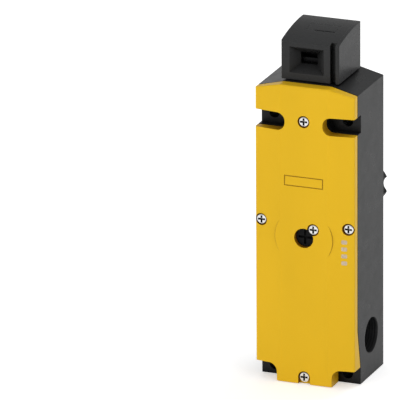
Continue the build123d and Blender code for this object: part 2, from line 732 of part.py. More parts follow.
def make_top_plug():
    plate = box(*top_plug_x(TOP_PLUG_GAP), *top_plug_y(TOP_PLUG_GAP), HEAD_TOP - TOP_PLUG_THICK, HEAD_TOP)
    across = SLOT_WIDTH / 2 - TOP_PLUG_GAP
    left, right = ENTRY_CENTRE_X - across, ENTRY_CENTRE_X + across
    deep = SLOT_HEIGHT / 2 - TOP_PLUG_GAP
    near, far = top_slot_y() - deep, top_slot_y() + deep
    under = HEAD_TOP - TOP_PLUG_THICK
    stub = box(left, right, near, far, under - TOP_PLUG_STUB, under)
    # The plate's top follows the crown of the head
    return (plate & side_prism(head_side(), -HEAD_HALF, HEAD_HALF)) + stub


def peg_places():
    low, high = HEAD_BOTTOM + PEG_INSET, HEAD_FRONT_TOP - PEG_INSET
    near, far = HEAD_FRONT_Y + GROOVE_DEPTH + PEG_INSET, AXIS_Y + HEAD_HALF - PEG_INSET
    return [(near, low), (far, low), (near, high), (far, high)]


def cap_pegs():
    low = cap_inner_x() - CAP_PEG_LENGTH
    return [rod_x(CAP_PEG_RADIUS, low, cap_inner_x(), y, z) for y, z in peg_places()]


def make_cap():
    """The right side of the head: a plate with a round boss that holds the rotor's axle."""
    plate = side_prism(head_side(), cap_inner_x(), HEAD_HALF)
    upright = plate.edges().filter_by(Axis.Z).filter_by(lambda e: e.center().X > HEAD_HALF - EDGE_ROUND)
    plate = fillet(upright, HEAD_EDGE_ROUND)
    boss_start = ENTRY_CENTRE_X + ROTOR_WIDTH / 2 + ROTOR_SIDE_GAP
    boss = rod_x(ROTOR_RADIUS + ROTOR_GAP - CAP_BOSS_GAP, boss_start, cap_inner_x(), AXIS_Y, ROTOR_Z)
    boss -= neck_bore()
    boss -= box(boss_start - 1, FUNNEL_WIDTH, AXIS_Y - SLOT_BACK, -BODY_DEPTH, ROTOR_Z, HEAD_TOP)
    boss -= box(boss_start - 1, FUNNEL_WIDTH / 2, *top_plug_y(-1), ROTOR_Z, HEAD_TOP)
    boss -= axle(0)
    return plate + boss + cap_pegs()


def axle(left):
    right = ENTRY_CENTRE_X + ROTOR_WIDTH / 2 + ROTOR_SIDE_GAP + AXLE_GRIP
    return rod_x(AXLE_RADIUS, left, right, AXIS_Y, ROTOR_Z)


def make_axle():
    return axle(ENTRY_CENTRE_X - ROTOR_WIDTH / 2 - ROTOR_SIDE_GAP - AXLE_GRIP)


def neck_seal_major():
    return NECK_RADIUS + NECK_GAP - NECK_SEAL_GAP - NECK_SEAL_WIRE


def make_neck_seal():
    return Pos(0, AXIS_Y, NECK_SEAL_Z) * ring(neck_seal_major(), NECK_SEAL_WIRE)


def make_clip():
    top = CAVITY_TOP - CLIP_GAP
    clip = rod_z(NECK_RADIUS + CLIP_LIP, top - CLIP_THICK, top)
    clip -= rod_z(NECK_RADIUS - CLIP_GROOVE, 0, HEAD_TOP)
    half = (NECK_RADIUS + CLIP_LIP) * sin(radians(CLIP_MOUTH / 2))
    return clip - box(-half, half, AXIS_Y, AXIS_Y + 2 * NECK_RADIUS, top - 2 * CLIP_THICK, top + 1)


def support_curve(rest, rate, turn, centre_angle):
    """An involute flank on which a flat follower moves in step with the turn.

    At each direction the flank's distance is rest plus rate times the angle turned, and the
    contact lies rate to the side of the axis, as on any involute of a circle that small.
    """
    points = []
    for step in range(FLANK_STEPS + 1):
        turned = radians(turn) * step / FLANK_STEPS
        angle = radians(centre_angle) + turned
        reach = rest + rate * turned
        points.append((reach * cos(angle) - rate * sin(angle), reach * sin(angle) + rate * cos(angle)))
    return points


def make_rotor():
    """The tongue's rotor: two pockets for the tongue, and a flank that carries the plunger."""
    flank = support_curve(ROTOR_REST, -ROTOR_K, ROTOR_TURN, -90.0)
    last = radians(ROTOR_TURN - 90.0)
    reach = ROTOR_REST - TRAVEL
    run = sqrt(ROTOR_RADIUS**2 - reach**2)
    top = (reach * cos(last) - run * sin(last), reach * sin(last) + run * cos(last))
    shoulder_angle = radians(ROTOR_SHOULDER)
    shoulder = (ROTOR_RADIUS * cos(shoulder_angle), ROTOR_RADIUS * sin(shoulder_angle))
    between = (atan2(top[1], top[0]) + shoulder_angle) / 2
    crown = (ROTOR_RADIUS * cos(between), ROTOR_RADIUS * sin(between))
    edges = [
        Spline(*flank),
        Line(flank[-1], top),
        ThreePointArc(top, crown, shoulder),
        Line(shoulder, flank[0]),
    ]
    face = make_face(Curve() + edges)
    low, high = ROTOR_POCKET_START, ROTOR_POCKET_START + ROTOR_POCKET
    depth_in = (ROTOR_POCKET_FLOOR + BODY_WIDTH) / 2
    long = BODY_WIDTH - ROTOR_POCKET_FLOOR
    middle = (low + high) / 2
    face -= Pos(-depth_in, middle) * Rectangle(long, ROTOR_POCKET)
    face -= Pos(middle, depth_in) * Rectangle(ROTOR_POCKET, long)
    face -= Circle(AXLE_RADIUS + RUN_GAP)
    left = ENTRY_CENTRE_X - ROTOR_WIDTH / 2
    return Pos(0, AXIS_Y, ROTOR_Z) * side_prism(face, left, left + ROTOR_WIDTH)


# Plunger


def make_plunger():
    """The rod under the rotor, with the arm that presses the tongue contact's slider."""
    rod = rod_z(PLUNGER_HEAD_RADIUS, PLUNGER_TOP - PLUNGER_HEAD_THICK, PLUNGER_TOP)
    rod += rod_z(PLUNGER_RADIUS, ARM_BOTTOM, PLUNGER_TOP - PLUNGER_HEAD_THICK)
    return rod + arm(-1, ARM_BOTTOM, ARM_TOP)


def arm(side, low, high):
    """A flat arm with round ends, from the plunger's axis out to a contact slider."""
    face = Pos(side * BLOCK_X / 2, AXIS_Y) * SlotOverall(BLOCK_X + ARM_WIDTH, ARM_WIDTH)
    return Pos(0, 0, low) * extrude(face, amount=high - low)


def make_guide():
    guide = rod_z(GUIDE_RADIUS, NECK_END, GUIDE_TOP)
    return guide - rod_z(PLUNGER_RADIUS + RUN_GAP, NECK_END - 1, GUIDE_TOP + 1)


# Release


def make_spindle():
    """The front disc with its slots, on the spindle that carries the cam."""
    front = depth(DISC_SINK)
    back = depth(DISC_SINK + DISC_THICK)
    part = rod_y(DISC_RADIUS, back, front, 0, RELEASE_Z)
    part += rod_y(SPINDLE_RADIUS, -SPINDLE_END, back, 0, RELEASE_Z)
    floor = front + DISC_SLOT_DEPTH
    span = DISC_RADIUS - DISC_SLOT_END
    for across, up in ((span, DISC_SLOT / 2), (DISC_SLOT / 2, span)):
        part -= box(-across, across, floor, front - 1, RELEASE_Z - up, RELEASE_Z + up)
    near = depth(SPINDLE_SEAL_DEPTH) - SPINDLE_SEAL_WIRE / 2
    band = rod_y(SPINDLE_RADIUS + 1, near, near + SPINDLE_SEAL_WIRE, 0, RELEASE_Z)
    return part - (band - rod_y(SPINDLE_RADIUS - SPINDLE_SEAL_WIRE, -BODY_DEPTH, 0, 0, RELEASE_Z))


def make_spindle_seal():
    seal = Rot(90, 0, 0) * ring(SPINDLE_RADIUS - SPINDLE_SEAL_WIRE / 2, SPINDLE_SEAL_WIRE / 2)
    return Pos(0, depth(SPINDLE_SEAL_DEPTH), RELEASE_Z) * seal


def make_release_cam():
    flank = support_curve(CAM_HUB, CAM_K, RELEASE_TURN, -90.0)
    nose = flank[-1]
    meet = radians(CAM_BACK_ANGLE)
    back = (CAM_HUB * cos(meet), CAM_HUB * sin(meet))
    half = (meet + radians(270.0)) / 2
    around = (CAM_HUB * cos(half), CAM_HUB * sin(half))
    edges = [
        Line((0, -CAM_HUB), flank[0]),
        Spline(*flank),
        Line(nose, back),
        ThreePointArc(back, around, (0, -CAM_HUB)),
    ]
    face = make_face(Curve() + edges)
    face -= Circle(SPINDLE_RADIUS)
    return Pos(0, 0, RELEASE_Z) * front_prism(face, AXIS_Y + CAM_THICK / 2, AXIS_Y - CAM_THICK / 2)


def make_stirrup():
    """The window round the cam, hung from the armature's rod."""
    outer = STIRRUP_HALF + STIRRUP_LEG
    low, high = BAR_TOP - STIRRUP_BAR, WINDOW_TOP + STIRRUP_BAR
    face = Pos(0, (low + high) / 2) * RectangleRounded(2 * outer, high - low, STIRRUP_LEG / 2)
    face -= Pos(0, (BAR_TOP + WINDOW_TOP) / 2) * Rectangle(2 * STIRRUP_HALF, WINDOW_TOP - BAR_TOP)
    frame = front_prism(face, AXIS_Y + STIRRUP_THICK / 2, AXIS_Y - STIRRUP_THICK / 2)
    return frame - rod_z(ROD_RADIUS, WINDOW_TOP - 1, high + 1)


def make_bush():
    inner = ESCAPE_SHAFT_RADIUS + RUN_GAP
    flange_y = -WALL - BUSH_BOSS
    bush = rod_y(BUSH_RADIUS, 0, flange_y, 0, RELEASE_Z)
    bush += rod_y(BUSH_RADIUS + BUSH_FLANGE, flange_y, flange_y - BUSH_FLANGE_THICK, 0, RELEASE_Z)
    return bush - rod_y(inner, 1, flange_y - BUSH_FLANGE_THICK - 1, 0, RELEASE_Z)


def shaft_end():
    return ESCAPE_REACH - KNOB_CAP


def make_escape_shaft():
    shaft = rod_y(ESCAPE_SHAFT_RADIUS, SHAFT_FRONT, shaft_end(), 0, RELEASE_Z)
    shaft -= rod_y(SPINDLE_RADIUS, SHAFT_FRONT - 1, -SPINDLE_END, 0, RELEASE_Z)
    return shaft - rod_y(KNOB_SCREW_RADIUS, shaft_end() - KNOB_SCREW_GRIP, shaft_end() + 1, 0, RELEASE_Z)


def make_knob():
    """A lobed knob: a turned blank with a flute between each two lobes."""
    front = ESCAPE_REACH - KNOB_THICK
    blank = rod_y(KNOB_RADIUS, front, ESCAPE_REACH, 0, RELEASE_Z)
    blank = chamfer(blank.edges().filter_by(GeomType.CIRCLE), KNOB_EDGE)
    for index in range(KNOB_LOBES):
        angle = 2 * pi * index / KNOB_LOBES
        off = KNOB_RADIUS + KNOB_FLUTE_RADIUS - KNOB_FLUTE_DEPTH
        x, z = off * cos(angle), RELEASE_Z + off * sin(angle)
        blank -= rod_y(KNOB_FLUTE_RADIUS, front - 1, ESCAPE_REACH + 1, x, z)
    blank += rod_y(KNOB_HUB_RADIUS, front - KNOB_HUB_LENGTH, front, 0, RELEASE_Z)
    blank -= rod_y(ESCAPE_SHAFT_RADIUS, front - KNOB_HUB_LENGTH - 1, shaft_end(), 0, RELEASE_Z)
    blank -= rod_y(KNOB_SCREW_RADIUS, front, ESCAPE_REACH + 1, 0, RELEASE_Z)
    sink = ESCAPE_REACH - KNOB_SCREW_HEAD_HEIGHT
    return blank - rod_y(KNOB_SCREW_HEAD, sink, ESCAPE_REACH + 1, 0, RELEASE_Z)


def make_knob_screw():
    sink = ESCAPE_REACH - KNOB_SCREW_HEAD_HEIGHT
    part = rod_y(KNOB_SCREW_HEAD, sink, ESCAPE_REACH, 0, RELEASE_Z)
    part -= cross(0, RELEASE_Z, ESCAPE_REACH - CROSS_DEPTH, ESCAPE_REACH + 1)
    return part + rod_y(KNOB_SCREW_RADIUS, shaft_end() - KNOB_SCREW_GRIP + SCREW_SHORT, sink, 0, RELEASE_Z)


# Solenoid


def make_yoke():
    """A bent iron strap round the coil, with two tabs for its screws."""
    side_in = YOKE_HALF - YOKE_SIDE
    face = Pos(0, (YOKE_BOTTOM + YOKE_TOP) / 2) * RectangleRounded(2 * YOKE_HALF, YOKE_HEIGHT, YOKE_SIDE)
    face -= Pos(0, (COIL_LOW + COIL_HIGH) / 2) * Rectangle(2 * side_in, COIL_HIGH - COIL_LOW)
    strap = front_prism(face, AXIS_Y + YOKE_DEPTH / 2, AXIS_Y - YOKE_DEPTH / 2)
    back = AXIS_Y + YOKE_DEPTH / 2
    for side in (-1, 1):
        x = side * YOKE_TAB_X
        width = YOKE_TAB_WIDTH / 2
        tab_low = YOKE_BOTTOM - YOKE_TAB_DROP
        strap += box(x - width, x + width, back, back - YOKE_TAB, tab_low, YOKE_BOTTOM + YOKE_PLATE)
        strap -= rod_y(YOKE_SCREW_RADIUS, back + 1, back - YOKE_TAB - 1, x, tab_screw_z())
    strap -= rod_z(ARMATURE_RADIUS + ARMATURE_GAP, COIL_HIGH - 1, YOKE_TOP + 1)
    return strap - rod_z(ARMATURE_RADIUS - CORE_STEP, YOKE_BOTTOM - 1, COIL_LOW + 1)


def make_yoke_screws():
    made = []
    back = AXIS_Y + YOKE_DEPTH / 2
    for side in (-1, 1):
        x, z = side * YOKE_TAB_X, tab_screw_z()
        head = rod_y(YOKE_SCREW_HEAD, back - YOKE_TAB, back - YOKE_TAB - YOKE_SCREW_HEAD_HEIGHT, x, z)
        made.append(head + rod_y(YOKE_SCREW_RADIUS, back - YOKE_TAB, back + YOKE_SCREW_GRIP, x, z))
    return Compound(made)


def bobbin_bore():
    return ARMATURE_RADIUS + ARMATURE_GAP


def make_bobbin():
    bobbin = rod_z(bobbin_bore() + BOBBIN_WALL, COIL_LOW, COIL_HIGH)
    bobbin += rod_z(BOBBIN_RADIUS, COIL_LOW, COIL_LOW + BOBBIN_FLANGE)
    bobbin += rod_z(BOBBIN_RADIUS, COIL_HIGH - BOBBIN_FLANGE, COIL_HIGH)
    return bobbin - rod_z(bobbin_bore(), COIL_LOW - 1, COIL_HIGH + 1)


def make_winding():
    low, high = COIL_LOW + BOBBIN_FLANGE, COIL_HIGH - BOBBIN_FLANGE
    return rod_z(WINDING_RADIUS, low, high) - rod_z(bobbin_bore() + BOBBIN_WALL, low - 1, high + 1)


def make_core():
    """The fixed core, seated on the yoke's lower plate with its stub through it."""
    core = rod_z(bobbin_bore() - CORE_FIT, COIL_LOW, CORE_TOP)
    core += rod_z(ARMATURE_RADIUS - CORE_STEP, YOKE_BOTTOM, COIL_LOW)
    return core - rod_z(ROD_RADIUS + ROD_GAP, YOKE_BOTTOM - 1, CORE_TOP + 1)


def make_armature():
    """The moving iron with its neck and the arm that carries the solenoid contact's slider."""
    iron = rod_z(ARMATURE_RADIUS, ARMATURE_LOW, ARMATURE_HIGH)
    iron += rod_z(ARMATURE_NECK, ARMATURE_HIGH, NECK_TOP)
    iron -= rod_z(ARMATURE_BORE, ARMATURE_LOW - 1, ARMATURE_LOW + ARMATURE_BORE_DEPTH)
    return iron - rod_z(ROD_RADIUS, ARMATURE_LOW, ARMATURE_LOW + ARMATURE_BORE_DEPTH + ROD_BITE)


def make_armature_arm():
    low, high = ARMATURE_ARM_LOW, ARMATURE_ARM_TOP
    return arm(1, low, high) - rod_z(ARMATURE_NECK, low - 1, high + 1)


def make_armature_rod():
    return rod_z(ROD_RADIUS, WINDOW_TOP, ARMATURE_LOW + ARMATURE_BORE_DEPTH + ROD_BITE)


# Contact blocks


def chamber_y():
    return BLOCK_FRONT + BLOCK_WALL, BLOCK_BACK - BLOCK_WALL


def make_block(side):
    """A contact block against the rear wall, open towards the coil."""
    inner, outer = side * (BLOCK_X - BLOCK_WIDTH / 2), side * (BLOCK_X + BLOCK_WIDTH / 2)
    block = box(inner, outer, BLOCK_BACK, BLOCK_FRONT, BLOCK_BOTTOM, BLOCK_TOP)
    block -= box(inner - side, outer - side * BLOCK_SIDE, *chamber_y(), CHAMBER_FLOOR, CHAMBER_TOP)
    block -= rod_z(STEM_RADIUS + ROD_GAP, CHAMBER_TOP - 1, BLOCK_TOP + 1, side * BLOCK_X)
    block -= rod_z(WELL_RADIUS, CHAMBER_FLOOR - WELL_DEPTH, CHAMBER_FLOOR + 1, side * BLOCK_X)
    return block - make_fixed_contacts(side).solids()


def make_slider(side, top):
    x = side * BLOCK_X
    body = box(
        x - SLIDER_WIDTH / 2,
        x + SLIDER_WIDTH / 2,
        AXIS_Y - SLIDER_DEPTH / 2,
        AXIS_Y + SLIDER_DEPTH / 2,
        SLIDER_LOW,
        SLIDER_LOW + SLIDER_HEIGHT,
    )
    body = fillet(body.edges().filter_by(Axis.Z), SLIDER_ROUND)
    body += rod_z(STEM_RADIUS, SLIDER_LOW + SLIDER_HEIGHT, top, x)
    return body - bridge_strip(side)


def bridge_strip(side):
    x = side * BLOCK_X
    start, end = chamber_y()
    return box(
        x - BRIDGE_WIDTH / 2,
        x + BRIDGE_WIDTH / 2,
        start + BRIDGE_END_GAP,
        end - BRIDGE_END_GAP,
        BRIDGE_LOW,
        BRIDGE_LOW + BRIDGE_THICK,
    )


def tip_places():
    start, end = chamber_y()
    inset = BRIDGE_END_GAP + TIP_RADIUS
    return start + inset, end - inset


def make_bridge(side):
    """The moving bridge with a contact tip above and below each end."""
    bridge = bridge_strip(side)
    low, high = BRIDGE_LOW - TIP_THICK, BRIDGE_LOW + BRIDGE_THICK + TIP_THICK
    for y in tip_places():
        bridge += rod_z(TIP_RADIUS, low, high, side * BLOCK_X, y)
    return bridge


def make_fixed_contacts(side):
    """Four fixed strips, two above and two below the bridge, let into the block's end walls."""
    x = side * BLOCK_X
    start, end = chamber_y()
    upper = BRIDGE_LOW + BRIDGE_THICK + TIP_THICK + TRAVEL + CONTACT_GAP
    lower = BRIDGE_LOW - TIP_THICK - TRAVEL - CONTACT_GAP - FIXED_THICK
    strips = []
    for z in (lower, upper):
        for y, inward in ((start, 1), (end, -1)):
            strips.append(
                box(
                    x - BRIDGE_WIDTH / 2,
                    x + BRIDGE_WIDTH / 2,
                    y - inward * FIXED_BITE,
                    y + inward * FIXED_LENGTH,
                    z,
                    z + FIXED_THICK,
                )
            )
    return Compound(strips)


# Terminal strip


def cell_places():
    first = -(STRIP_CELLS - 1) * STRIP_PITCH / 2
    return [first + index * STRIP_PITCH for index in range(STRIP_CELLS)]


def strip_front():
    return -WALL - STRIP_DEPTH


def clamp_front():
    return strip_front() + CELL_DEPTH - CLAMP_THICK


def make_strip():
    """The terminal strip on the rear wall, with one open cell for each wire."""
    half = STRIP_CELLS * STRIP_PITCH / 2
    strip = box(-half, half, -WALL, strip_front(), STRIP_BOTTOM, STRIP_BOTTOM + STRIP_HEIGHT)
    middle = STRIP_BOTTOM + STRIP_HEIGHT / 2
    low, high = middle - CELL_HEIGHT / 2, middle + CELL_HEIGHT / 2
    width = STRIP_PITCH / 2 - STRIP_WALL
    hole_end = clamp_front() + TERMINAL_SCREW_LENGTH + 1
    for x in cell_places():
        strip -= box(x - width, x + width, strip_front() - 1, strip_front() + CELL_DEPTH, low, high)
        strip -= rod_y(TERMINAL_SCREW_RADIUS, clamp_front(), hole_end, x, middle)
    return strip


def make_clamps():
    middle = STRIP_BOTTOM + STRIP_HEIGHT / 2
    width = STRIP_PITCH / 2 - STRIP_WALL - CLAMP_SIDE_GAP
    tall = CELL_HEIGHT / 2 - CLAMP_SIDE_GAP
    near, far = clamp_front(), clamp_front() + CLAMP_THICK
    made = []
    for x in cell_places():
        clamp = box(x - width, x + width, near, far, middle - tall, middle + tall)
        made.append(clamp - rod_y(TERMINAL_SCREW_RADIUS, near - 1, far + 1, x, middle))
    return Compound(made)


def make_terminal_screws():
    middle = STRIP_BOTTOM + STRIP_HEIGHT / 2
    low, high = middle - CROSS_WIDTH / 2, middle + CROSS_WIDTH / 2
    top = clamp_front() - TERMINAL_HEAD_HEIGHT
    radius = TERMINAL_HEAD_RADIUS
    end = clamp_front() + TERMINAL_SCREW_LENGTH
    made = []
    for x in cell_places():
        part = rod_y(radius, clamp_front(), top, x, middle)
        part -= box(x - radius, x + radius, top - 1, top + CROSS_DEPTH, low, high)
        made.append(part + rod_y(TERMINAL_SCREW_RADIUS, clamp_front(), end, x, middle))
    return Compound(made)


def main():
    os.makedirs("parts", exist_ok=True)
    write("housing", make_housing())
    write("threaded_inserts", make_inserts())
    write("cover_gasket", make_gasket())
    write("front_cover", make_cover())
    write("cover_screws", make_cover_screws())
    write("seal_screw", make_seal_screw())
    write("left_entry_plug", at_left_entry(make_plug()))
    write("left_plug_seal", at_left_entry(make_plug_seal()))
    write("bottom_entry_plug", at_bottom_entry(make_plug()))
    write("bottom_plug_seal", at_bottom_entry(make_plug_seal()))
    write("head_body", make_head())
    write("head_side_cap", make_cap())
    write("top_entry_plug", make_top_plug())
    write("rotor_axle", make_axle())
    write("neck_seal", make_neck_seal())
    write("head_clip", make_clip())
    write("plunger_guide", make_guide())
    write("tongue_rotor", make_rotor())
    write("plunger", make_plunger())
    head_low = PLUNGER_TOP - PLUNGER_HEAD_THICK
    coil_radius = (PLUNGER_RADIUS + NECK_BORE) / 2 - COIL_SHIFT
    write("plunger_spring", spring(coil_radius, SPRING_WIRE, GUIDE_TOP, head_low, PLUNGER_COILS))
    write("release_spindle", make_spindle())
    write("spindle_seal", make_spindle_seal())
    write("release_cam", make_release_cam())
    write("escape_shaft", make_escape_shaft())
    write("escape_knob", make_knob())
    write("knob_screw", make_knob_screw())
    write("shaft_bush", make_bush())
    write("solenoid_yoke", make_yoke())
    write("yoke_screws", make_yoke_screws())
    write("coil_bobbin", make_bobbin())
    write("coil_winding", make_winding())
    write("fixed_core", make_core())
    write("armature", make_armature())
    write("armature_arm", make_armature_arm())
    write("armature_rod", make_armature_rod())
    bore_top = ARMATURE_LOW + ARMATURE_BORE_DEPTH
    rod_coil = spring((ROD_RADIUS + ARMATURE_BORE) / 2, SPRING_WIRE, CORE_TOP, bore_top, ARMATURE_COILS)
    write("armature_spring", rod_coil)
    write("release_stirrup", make_stirrup())
    for side, name, top in ((-1, "tongue", STEM_TOP), (1, "solenoid", ARMATURE_ARM_LOW)):
        write(f"{name}_contact_block", make_block(side))
        write(f"{name}_contact_slider", make_slider(side, top))
        write(f"{name}_contact_bridge", make_bridge(side))
        write(f"{name}_fixed_contacts", make_fixed_contacts(side))
        well = CHAMBER_FLOOR - WELL_DEPTH
        coil_radius = WELL_RADIUS - SPRING_WIRE
        coil = spring(coil_radius, SPRING_WIRE, well, SLIDER_LOW, CONTACT_COILS, side * BLOCK_X)
        write(f"{name}_contact_spring", coil)
    write("terminal_strip", make_strip())
    write("terminal_clamps", make_clamps())
    write("terminal_screws", make_terminal_screws())


main()
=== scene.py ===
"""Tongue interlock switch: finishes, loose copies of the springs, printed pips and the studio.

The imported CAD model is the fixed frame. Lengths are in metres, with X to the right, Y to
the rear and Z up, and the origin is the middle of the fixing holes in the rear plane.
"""

from math import atan2, cos, pi, radians, sin, tau

import bpy
from bpy.props import FloatProperty, FloatVectorProperty, IntProperty, PointerProperty
from bpy.types import Operator, Panel, PropertyGroup
from mathutils import Euler, Matrix, Vector


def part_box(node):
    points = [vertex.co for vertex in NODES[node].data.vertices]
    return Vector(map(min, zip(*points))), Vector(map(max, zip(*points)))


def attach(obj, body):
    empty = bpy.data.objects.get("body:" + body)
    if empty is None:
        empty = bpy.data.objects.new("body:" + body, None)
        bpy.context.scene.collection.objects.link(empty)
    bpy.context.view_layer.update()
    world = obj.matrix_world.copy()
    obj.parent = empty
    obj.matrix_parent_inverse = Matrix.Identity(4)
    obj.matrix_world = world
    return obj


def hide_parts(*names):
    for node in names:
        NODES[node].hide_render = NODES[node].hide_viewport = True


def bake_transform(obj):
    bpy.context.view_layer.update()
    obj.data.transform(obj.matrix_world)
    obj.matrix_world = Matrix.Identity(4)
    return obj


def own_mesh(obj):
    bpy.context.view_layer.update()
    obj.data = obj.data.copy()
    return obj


bl_info = {
    "name": "Tongue interlock switch",
    "version": (1, 0, 0),
    "blender": (4, 5, 0),
    "location": "3D View > Sidebar > Switch",
    "description": "Finishes, small details and studio for a tongue interlock switch",
    "category": "Object",
}

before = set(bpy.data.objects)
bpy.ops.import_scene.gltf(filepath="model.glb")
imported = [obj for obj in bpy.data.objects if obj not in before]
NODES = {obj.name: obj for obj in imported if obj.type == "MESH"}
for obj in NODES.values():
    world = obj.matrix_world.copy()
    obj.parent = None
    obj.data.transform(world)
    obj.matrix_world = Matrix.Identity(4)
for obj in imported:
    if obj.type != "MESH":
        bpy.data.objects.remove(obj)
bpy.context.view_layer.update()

# The front of the cover, the flat band in its middle and the foot of the enclosure
COVER_LOW, COVER_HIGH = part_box("front_cover")
FRONT_Y = COVER_LOW[1]
HALF_WIDTH = COVER_HIGH[0]
FLAT_HALF = 0.013
FACET_FALL = 0.002
FOOT_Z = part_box("housing")[0][2]

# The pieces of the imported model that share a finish
PLUG_NODES = ["left_entry_plug", "bottom_entry_plug"]
HEAD_NODES = ["head_body", "head_side_cap", "top_entry_plug"]
ROTOR_NODES = ["tongue_rotor", "release_spindle", "escape_knob"]
RUBBER_NODES = ["cover_gasket", "left_plug_seal", "bottom_plug_seal", "neck_seal", "spindle_seal"]
SCREW_NODES = [
    "cover_screws",
    "seal_screw",
    "knob_screw",
    "yoke_screws",
    "terminal_screws",
    "terminal_clamps",
]
SHAFT_NODES = ["plunger", "rotor_axle", "head_clip", "release_cam", "escape_shaft"]
IRON_NODES = ["solenoid_yoke", "fixed_core", "armature", "release_stirrup"]
BRASS_NODES = ["threaded_inserts", "plunger_guide", "shaft_bush", "armature_rod"]
COPPER_NODES = [
    "tongue_contact_bridge",
    "tongue_fixed_contacts",
    "solenoid_contact_bridge",
    "solenoid_fixed_contacts",
]
BLOCK_NODES = [
    "tongue_contact_block",
    "solenoid_contact_block",
    "terminal_strip",
    "coil_bobbin",
    "armature_arm",
]
SLIDER_NODES = ["tongue_contact_slider", "solenoid_contact_slider"]

# The springs that go to the armature, and the others, each with a body that is not used
SHORTENING_SPRINGS = ["armature_spring", "solenoid_contact_spring"]
LENGTHENING_SPRINGS = {"plunger_spring": "plunger", "tongue_contact_spring": "tongue_contact"}
SPRING_NODES = [*SHORTENING_SPRINGS, *LENGTHENING_SPRINGS]
MERGE_DISTANCE = 0.000001
SMOOTH_ANGLE = radians(40)

# The entry's thread: the wall's distance outside the plug, how near counts as on it, and the depth
PLUG_CLEARANCE = 0.0001
WALL_TOLERANCE = 0.00012
THREAD_DEPTH = 0.0005

# Painted shade in hollows: how far a finish looks for the walls of a hollow, and how open a point is
# from dark to clear
PLAIN_PAINTED_SHADE = {"reach": 0.007, "shut": 0.40, "clear": 0.90}
HOUSING_PAINTED_SHADE = {"reach": 0.006, "shut": 0.42, "clear": 0.90, "alone": False}
COVER_PAINTED_SHADE = {"reach": 0.012, "shut": 0.49, "clear": 0.99}
HEAD_PAINTED_SHADE = {"reach": 0.018, "shut": 0.68, "clear": 0.99}
METAL_PAINTED_SHADE = {"reach": 0.003, "shut": 0.60, "clear": 0.96}
# How much of the painted shade shows, and the share of a finish's colour that it darkens to
PAINTED_SHADE_STRENGTH = 0.95
PAINTED_SHADE_TONE = 0.08

# How much of an edge's lightening shows, as wear and as painted sheen, and how aligned its rounded
# normal is on the edge and off it
EDGE_WEAR_AND_SHEEN = 0.6
EDGE_ALIGNED = 0.80
FLAT_ALIGNED = 0.985

# The depth of the grain on coarse, fine and smooth mouldings, and of the tool marks
GRAIN_DEPTH = 0.00004
FINE_GRAIN_DEPTH = 0.00003
SMOOTH_GRAIN_DEPTH = 0.00002
TOOL_MARK_DEPTH = 0.00002

# The width of the patterns in the mouldings, the metals, the rubber, the print and the floor
FLOW_SIZE = 0.035
FLOW_STRETCH = (1.0, 1.0, 0.35)
GLOSS_PATCH_SIZE = 0.006
PLATING_CLOUD_SIZE = 0.003
TOOL_MARK_SIZE = 0.0006
BLOOM_SIZE = 0.002
RUBBER_GLOSS_SIZE = 0.001
RUBBER_GRAIN_SIZE = 0.0003
WINDING_GLOSS_SIZE = 0.002
PRINT_TONE_SIZE = 0.0009
PRINT_GLOSS_SIZE = 0.0015
PRINT_GRAIN_SIZE = 0.0004
MOTTLE_SIZE = 0.08

# How tool marks are squeezed along X, Y and Z on each kind of metal piece
TURNED_MARKS = (1.0, 6.0, 1.0)
SHAFT_MARKS = (1.0, 8.0, 1.0)
PLATE_MARKS = (1.0, 1.0, 1.0)
WIRE_MARKS = (1.0, 1.0, 4.0)
STRIP_MARKS = (1.0, 0.2, 1.0)

# The radius that softens the edges of metal, and the height of the winding's wires
METAL_EDGE_RADIUS = 0.00015
WIRE_DEPTH = 0.0001

# The sockets of a Mix node that mixes colours
MIX_FACTOR, MIX_FIRST, MIX_SECOND, MIX_RESULT = 0, 6, 7, 2

# Shares of a pip's height: its rounded corners and the sloping rim of its top
PIP_CORNER = 0.3
PIP_RIM = 0.08

# The studio: what it is aimed at, where each lamp stands, and its width and height
MIDDLE = Vector((0.0, -0.02, 0.015))
LAMPS = {
    "key": ((1.4, -0.6, 0.9), (1.2, 1.2)),
    "fill": ((-0.5, -1.75, 0.16), (1.6, 0.42)),
    "top": ((0.1, 0.2, 1.7), (1.4, 1.4)),
    "back": ((0.45, 1.2, 1.1), (0.7, 0.7)),
}
CLIP_RANGE = (0.1, 20.0)

# The floor: its width, its gap below the foot, and its glow to the camera and in mirrored rays
FLOOR_WIDTH = 8.0
FLOOR_GAP = 0.0002
FLOOR_GLOW = 0.45
FLOOR_MIRRORED = 0.28

# What mirrored rays see of the surroundings, low down and overhead, and where it changes
MIRRORED_LOW = 1.0
MIRRORED_OVERHEAD = 0.45
MIRRORED_FROM, MIRRORED_TO = 0.08, 0.45


